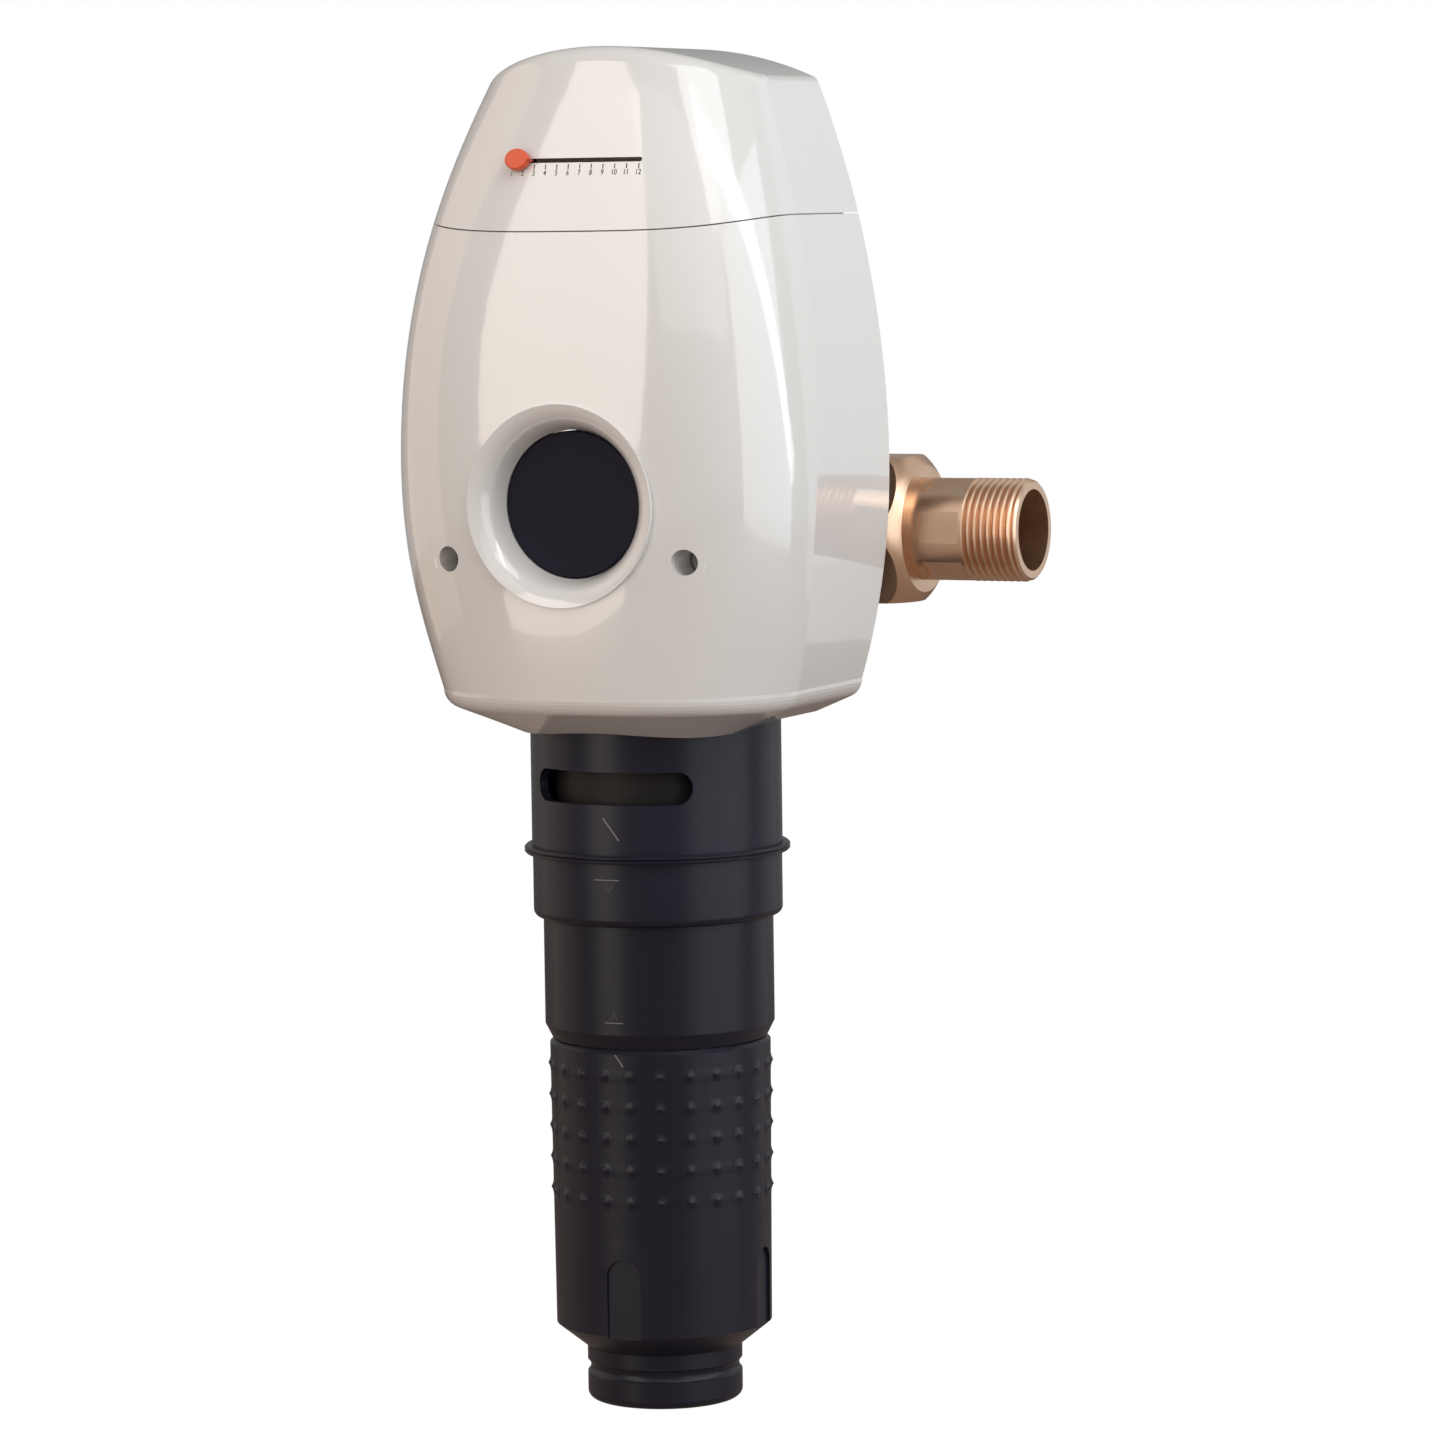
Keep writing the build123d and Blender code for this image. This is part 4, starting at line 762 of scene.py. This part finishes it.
@dataclass(frozen=True)
class CameraFit:
    """Camera of the photograph, in millimetres and degrees."""

    azimuth: float = 24.702
    pitch: float = 5.365
    roll: float = 0.801
    focal_px: float = 5698.8
    distance: float = 1824.6
    target_z: float = 223.0
    offset_x_px: float = -72.055
    offset_y_px: float = -18.881
    image_px: float = 1455.0
    sensor_mm: float = 36.0
    nearest_m: float = 0.05
    farthest_m: float = 50.0


@dataclass(frozen=True)
class Panel:
    """A soft light panel of the studio.

    Attributes:
        name: name of the light.
        azimuth: direction it stands in, degrees from the front towards +X.
        elevation: degrees above the horizon.
        distance: metres from the object's middle.
        width: metres across.
        height: metres high.
        power: watts.
        colour: light colour.
        roll: degrees the panel is turned about the line to the object.
    """

    name: str
    azimuth: float
    elevation: float
    distance: float
    width: float
    height: float
    power: float
    colour: RGB = (1.0, 1.0, 1.0)
    roll: float = 0.0


@dataclass
class Studio:
    """Camera, light panels, world and floor.

    Attributes:
        camera: the photograph's camera.
        middle: point that the panels face, in metres.
        ambient_colour: colour of the light from all round.
        ambient_strength: strength of that light.
        floor_half: half the floor's side, in metres.
        floor_level: height of the floor, in metres.
        floor_colour: colour the floor gives back to the filter.
        floor_rough: roughness of the floor.
        panels: the light panels.
    """

    camera: CameraFit = field(default_factory=CameraFit)
    middle: Vector = field(default_factory=lambda: Vector((0, 0, 0.24)))
    ambient_colour: RGB = (0.95, 0.925, 0.905)
    ambient_strength: float = 0.335
    floor_half: float = 3.0
    floor_level: float = -0.25
    floor_colour: RGB = (0.32, 0.25, 0.21)
    floor_rough: float = 0.9
    panels: tuple[Panel, ...] = (
        Panel(
            "key_right",
            azimuth=60,
            elevation=55,
            distance=1.8,
            width=1.0,
            height=1.0,
            power=6.0,
            colour=(0.93, 0.97, 1.0),
        ),
        Panel(
            "side_fill",
            azimuth=84,
            elevation=10,
            distance=2.0,
            width=2.3,
            height=2.4,
            power=23.0,
            colour=(0.88, 0.95, 1.0),
        ),
        Panel(
            "warm_band",
            azimuth=-25,
            elevation=10,
            distance=2.2,
            width=1.0,
            height=3.6,
            power=24.0,
            colour=(1.0, 0.90, 0.82),
        ),
        Panel(
            "fill_front",
            azimuth=20,
            elevation=36,
            distance=2.4,
            width=2.2,
            height=1.5,
            power=6.0,
            colour=(1.0, 0.98, 0.97),
        ),
        Panel(
            "strip_right",
            azimuth=90,
            elevation=31,
            distance=1.4,
            width=0.20,
            height=2.4,
            power=3.8,
            colour=(1.0, 1.0, 1.0),
            roll=42.0,
        ),
        Panel(
            "left_low",
            azimuth=-85,
            elevation=10,
            distance=1.8,
            width=1.6,
            height=2.4,
            power=6.0,
            colour=(1.0, 0.78, 0.62),
        ),
        Panel(
            "back_rim",
            azimuth=148,
            elevation=8,
            distance=1.8,
            width=1.0,
            height=3.0,
            power=3.4,
            colour=(0.96, 0.98, 1.0),
        ),
    )

    def build(self) -> None:
        """Makes everything of the studio."""
        self._world()
        self._floor()
        for panel in self.panels:
            self._light(panel)
        self._camera()
        bpy.context.scene.view_settings.view_transform = "Standard"

    def _world(self) -> None:
        """White behind the object, a dimmer grey for the light it gives."""
        world = bpy.data.worlds.new("studio")
        bpy.context.scene.world = world
        world.use_nodes = True
        nodes = world.node_tree.nodes
        link = world.node_tree.links.new
        nodes.clear()
        out = nodes.new("ShaderNodeOutputWorld")
        ambient = nodes.new("ShaderNodeBackground")
        ambient.inputs["Color"].default_value = (*self.ambient_colour, 1)
        ambient.inputs["Strength"].default_value = self.ambient_strength
        white = nodes.new("ShaderNodeBackground")
        white.inputs["Color"].default_value = (1, 1, 1, 1)
        white.inputs["Strength"].default_value = 1.0
        path = nodes.new("ShaderNodeLightPath")
        pick = nodes.new("ShaderNodeMixShader")
        link(path.outputs["Is Camera Ray"], pick.inputs["Fac"])
        link(ambient.outputs["Background"], pick.inputs[1])
        link(white.outputs["Background"], pick.inputs[2])
        link(pick.outputs["Shader"], out.inputs["Surface"])

    def _floor(self) -> None:
        """Warm floor well below the filter; the camera sees it as white."""
        mesh = bpy.data.meshes.new("floor")
        size = self.floor_half
        level = self.floor_level
        mesh.from_pydata(
            [(-size, -size, level), (size, -size, level), (size, size, level), (-size, size, level)],
            [],
            [(0, 1, 2, 3)],
        )
        floor = bpy.data.objects.new("floor", mesh)
        bpy.context.scene.collection.objects.link(floor)
        material = bpy.data.materials.new("floor")
        material.use_nodes = True
        nodes = material.node_tree.nodes
        link = material.node_tree.links.new
        shader = nodes["Principled BSDF"]
        shader.inputs["Base Color"].default_value = (*self.floor_colour, 1)
        shader.inputs["Roughness"].default_value = self.floor_rough
        white = nodes.new("ShaderNodeEmission")
        white.inputs["Color"].default_value = (1, 1, 1, 1)
        path = nodes.new("ShaderNodeLightPath")
        pick = nodes.new("ShaderNodeMixShader")
        link(path.outputs["Is Camera Ray"], pick.inputs["Fac"])
        link(shader.outputs["BSDF"], pick.inputs[1])
        link(white.outputs["Emission"], pick.inputs[2])
        link(pick.outputs["Shader"], nodes["Material Output"].inputs["Surface"])
        mesh.materials.append(material)

    def _light(self, panel: Panel) -> None:
        """Adds one panel that faces the object's middle.

        Args:
            panel: the panel.
        """
        data = bpy.data.lights.new(panel.name, "AREA")
        data.shape = "RECTANGLE"
        data.size = panel.width
        data.size_y = panel.height
        data.energy = panel.power
        data.color = panel.colour
        obj = bpy.data.objects.new(panel.name, data)
        bpy.context.scene.collection.objects.link(obj)
        turn = math.radians(panel.azimuth)
        rise = math.radians(panel.elevation)
        outward = Vector(
            (math.sin(turn) * math.cos(rise), -math.cos(turn) * math.cos(rise), math.sin(rise))
        )
        obj.location = self.middle + outward * panel.distance
        obj.rotation_mode = "QUATERNION"
        facing = (-outward).to_track_quat("-Z", "Y")
        obj.rotation_quaternion = facing @ Quaternion((0, 0, 1), math.radians(panel.roll))

    def _camera(self) -> None:
        """Sets up the photograph's camera."""
        fit = self.camera
        turn = math.radians(fit.azimuth)
        pitch = math.radians(fit.pitch)
        roll = math.radians(fit.roll)
        forward = Vector(
            (-math.sin(turn) * math.cos(pitch), math.cos(turn) * math.cos(pitch), -math.sin(pitch))
        )
        level = Vector((math.cos(turn), math.sin(turn), 0))
        upright = level.cross(forward)
        right = level * math.cos(roll) - upright * math.sin(roll)
        up = level * math.sin(roll) + upright * math.cos(roll)
        per_px = fit.distance / fit.focal_px
        reach = forward * fit.distance + right * fit.offset_x_px * per_px - up * fit.offset_y_px * per_px
        place = (Vector((0, 0, fit.target_z)) - reach) * MM
        data = bpy.data.cameras.new("camera")
        data.sensor_width = fit.sensor_mm
        data.lens = fit.sensor_mm * fit.focal_px / fit.image_px
        data.clip_start = fit.nearest_m
        data.clip_end = fit.farthest_m
        camera = bpy.data.objects.new("camera", data)
        bpy.context.scene.collection.objects.link(camera)
        axes = Matrix((right, up, -forward)).transposed().to_4x4()
        camera.matrix_world = Matrix.Translation(place) @ axes
        bpy.context.scene.camera = camera


def main() -> None:
    """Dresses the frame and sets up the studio."""
    logging.basicConfig(level=logging.INFO)
    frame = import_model()
    library = MaterialLibrary()
    for kind in (Hood, Sleeves, Pipework, Inside):
        kind(frame, library).build()
        LOG.info("built %s", kind.__name__)
    Studio().build()


if __name__ == "__main__":
    main()
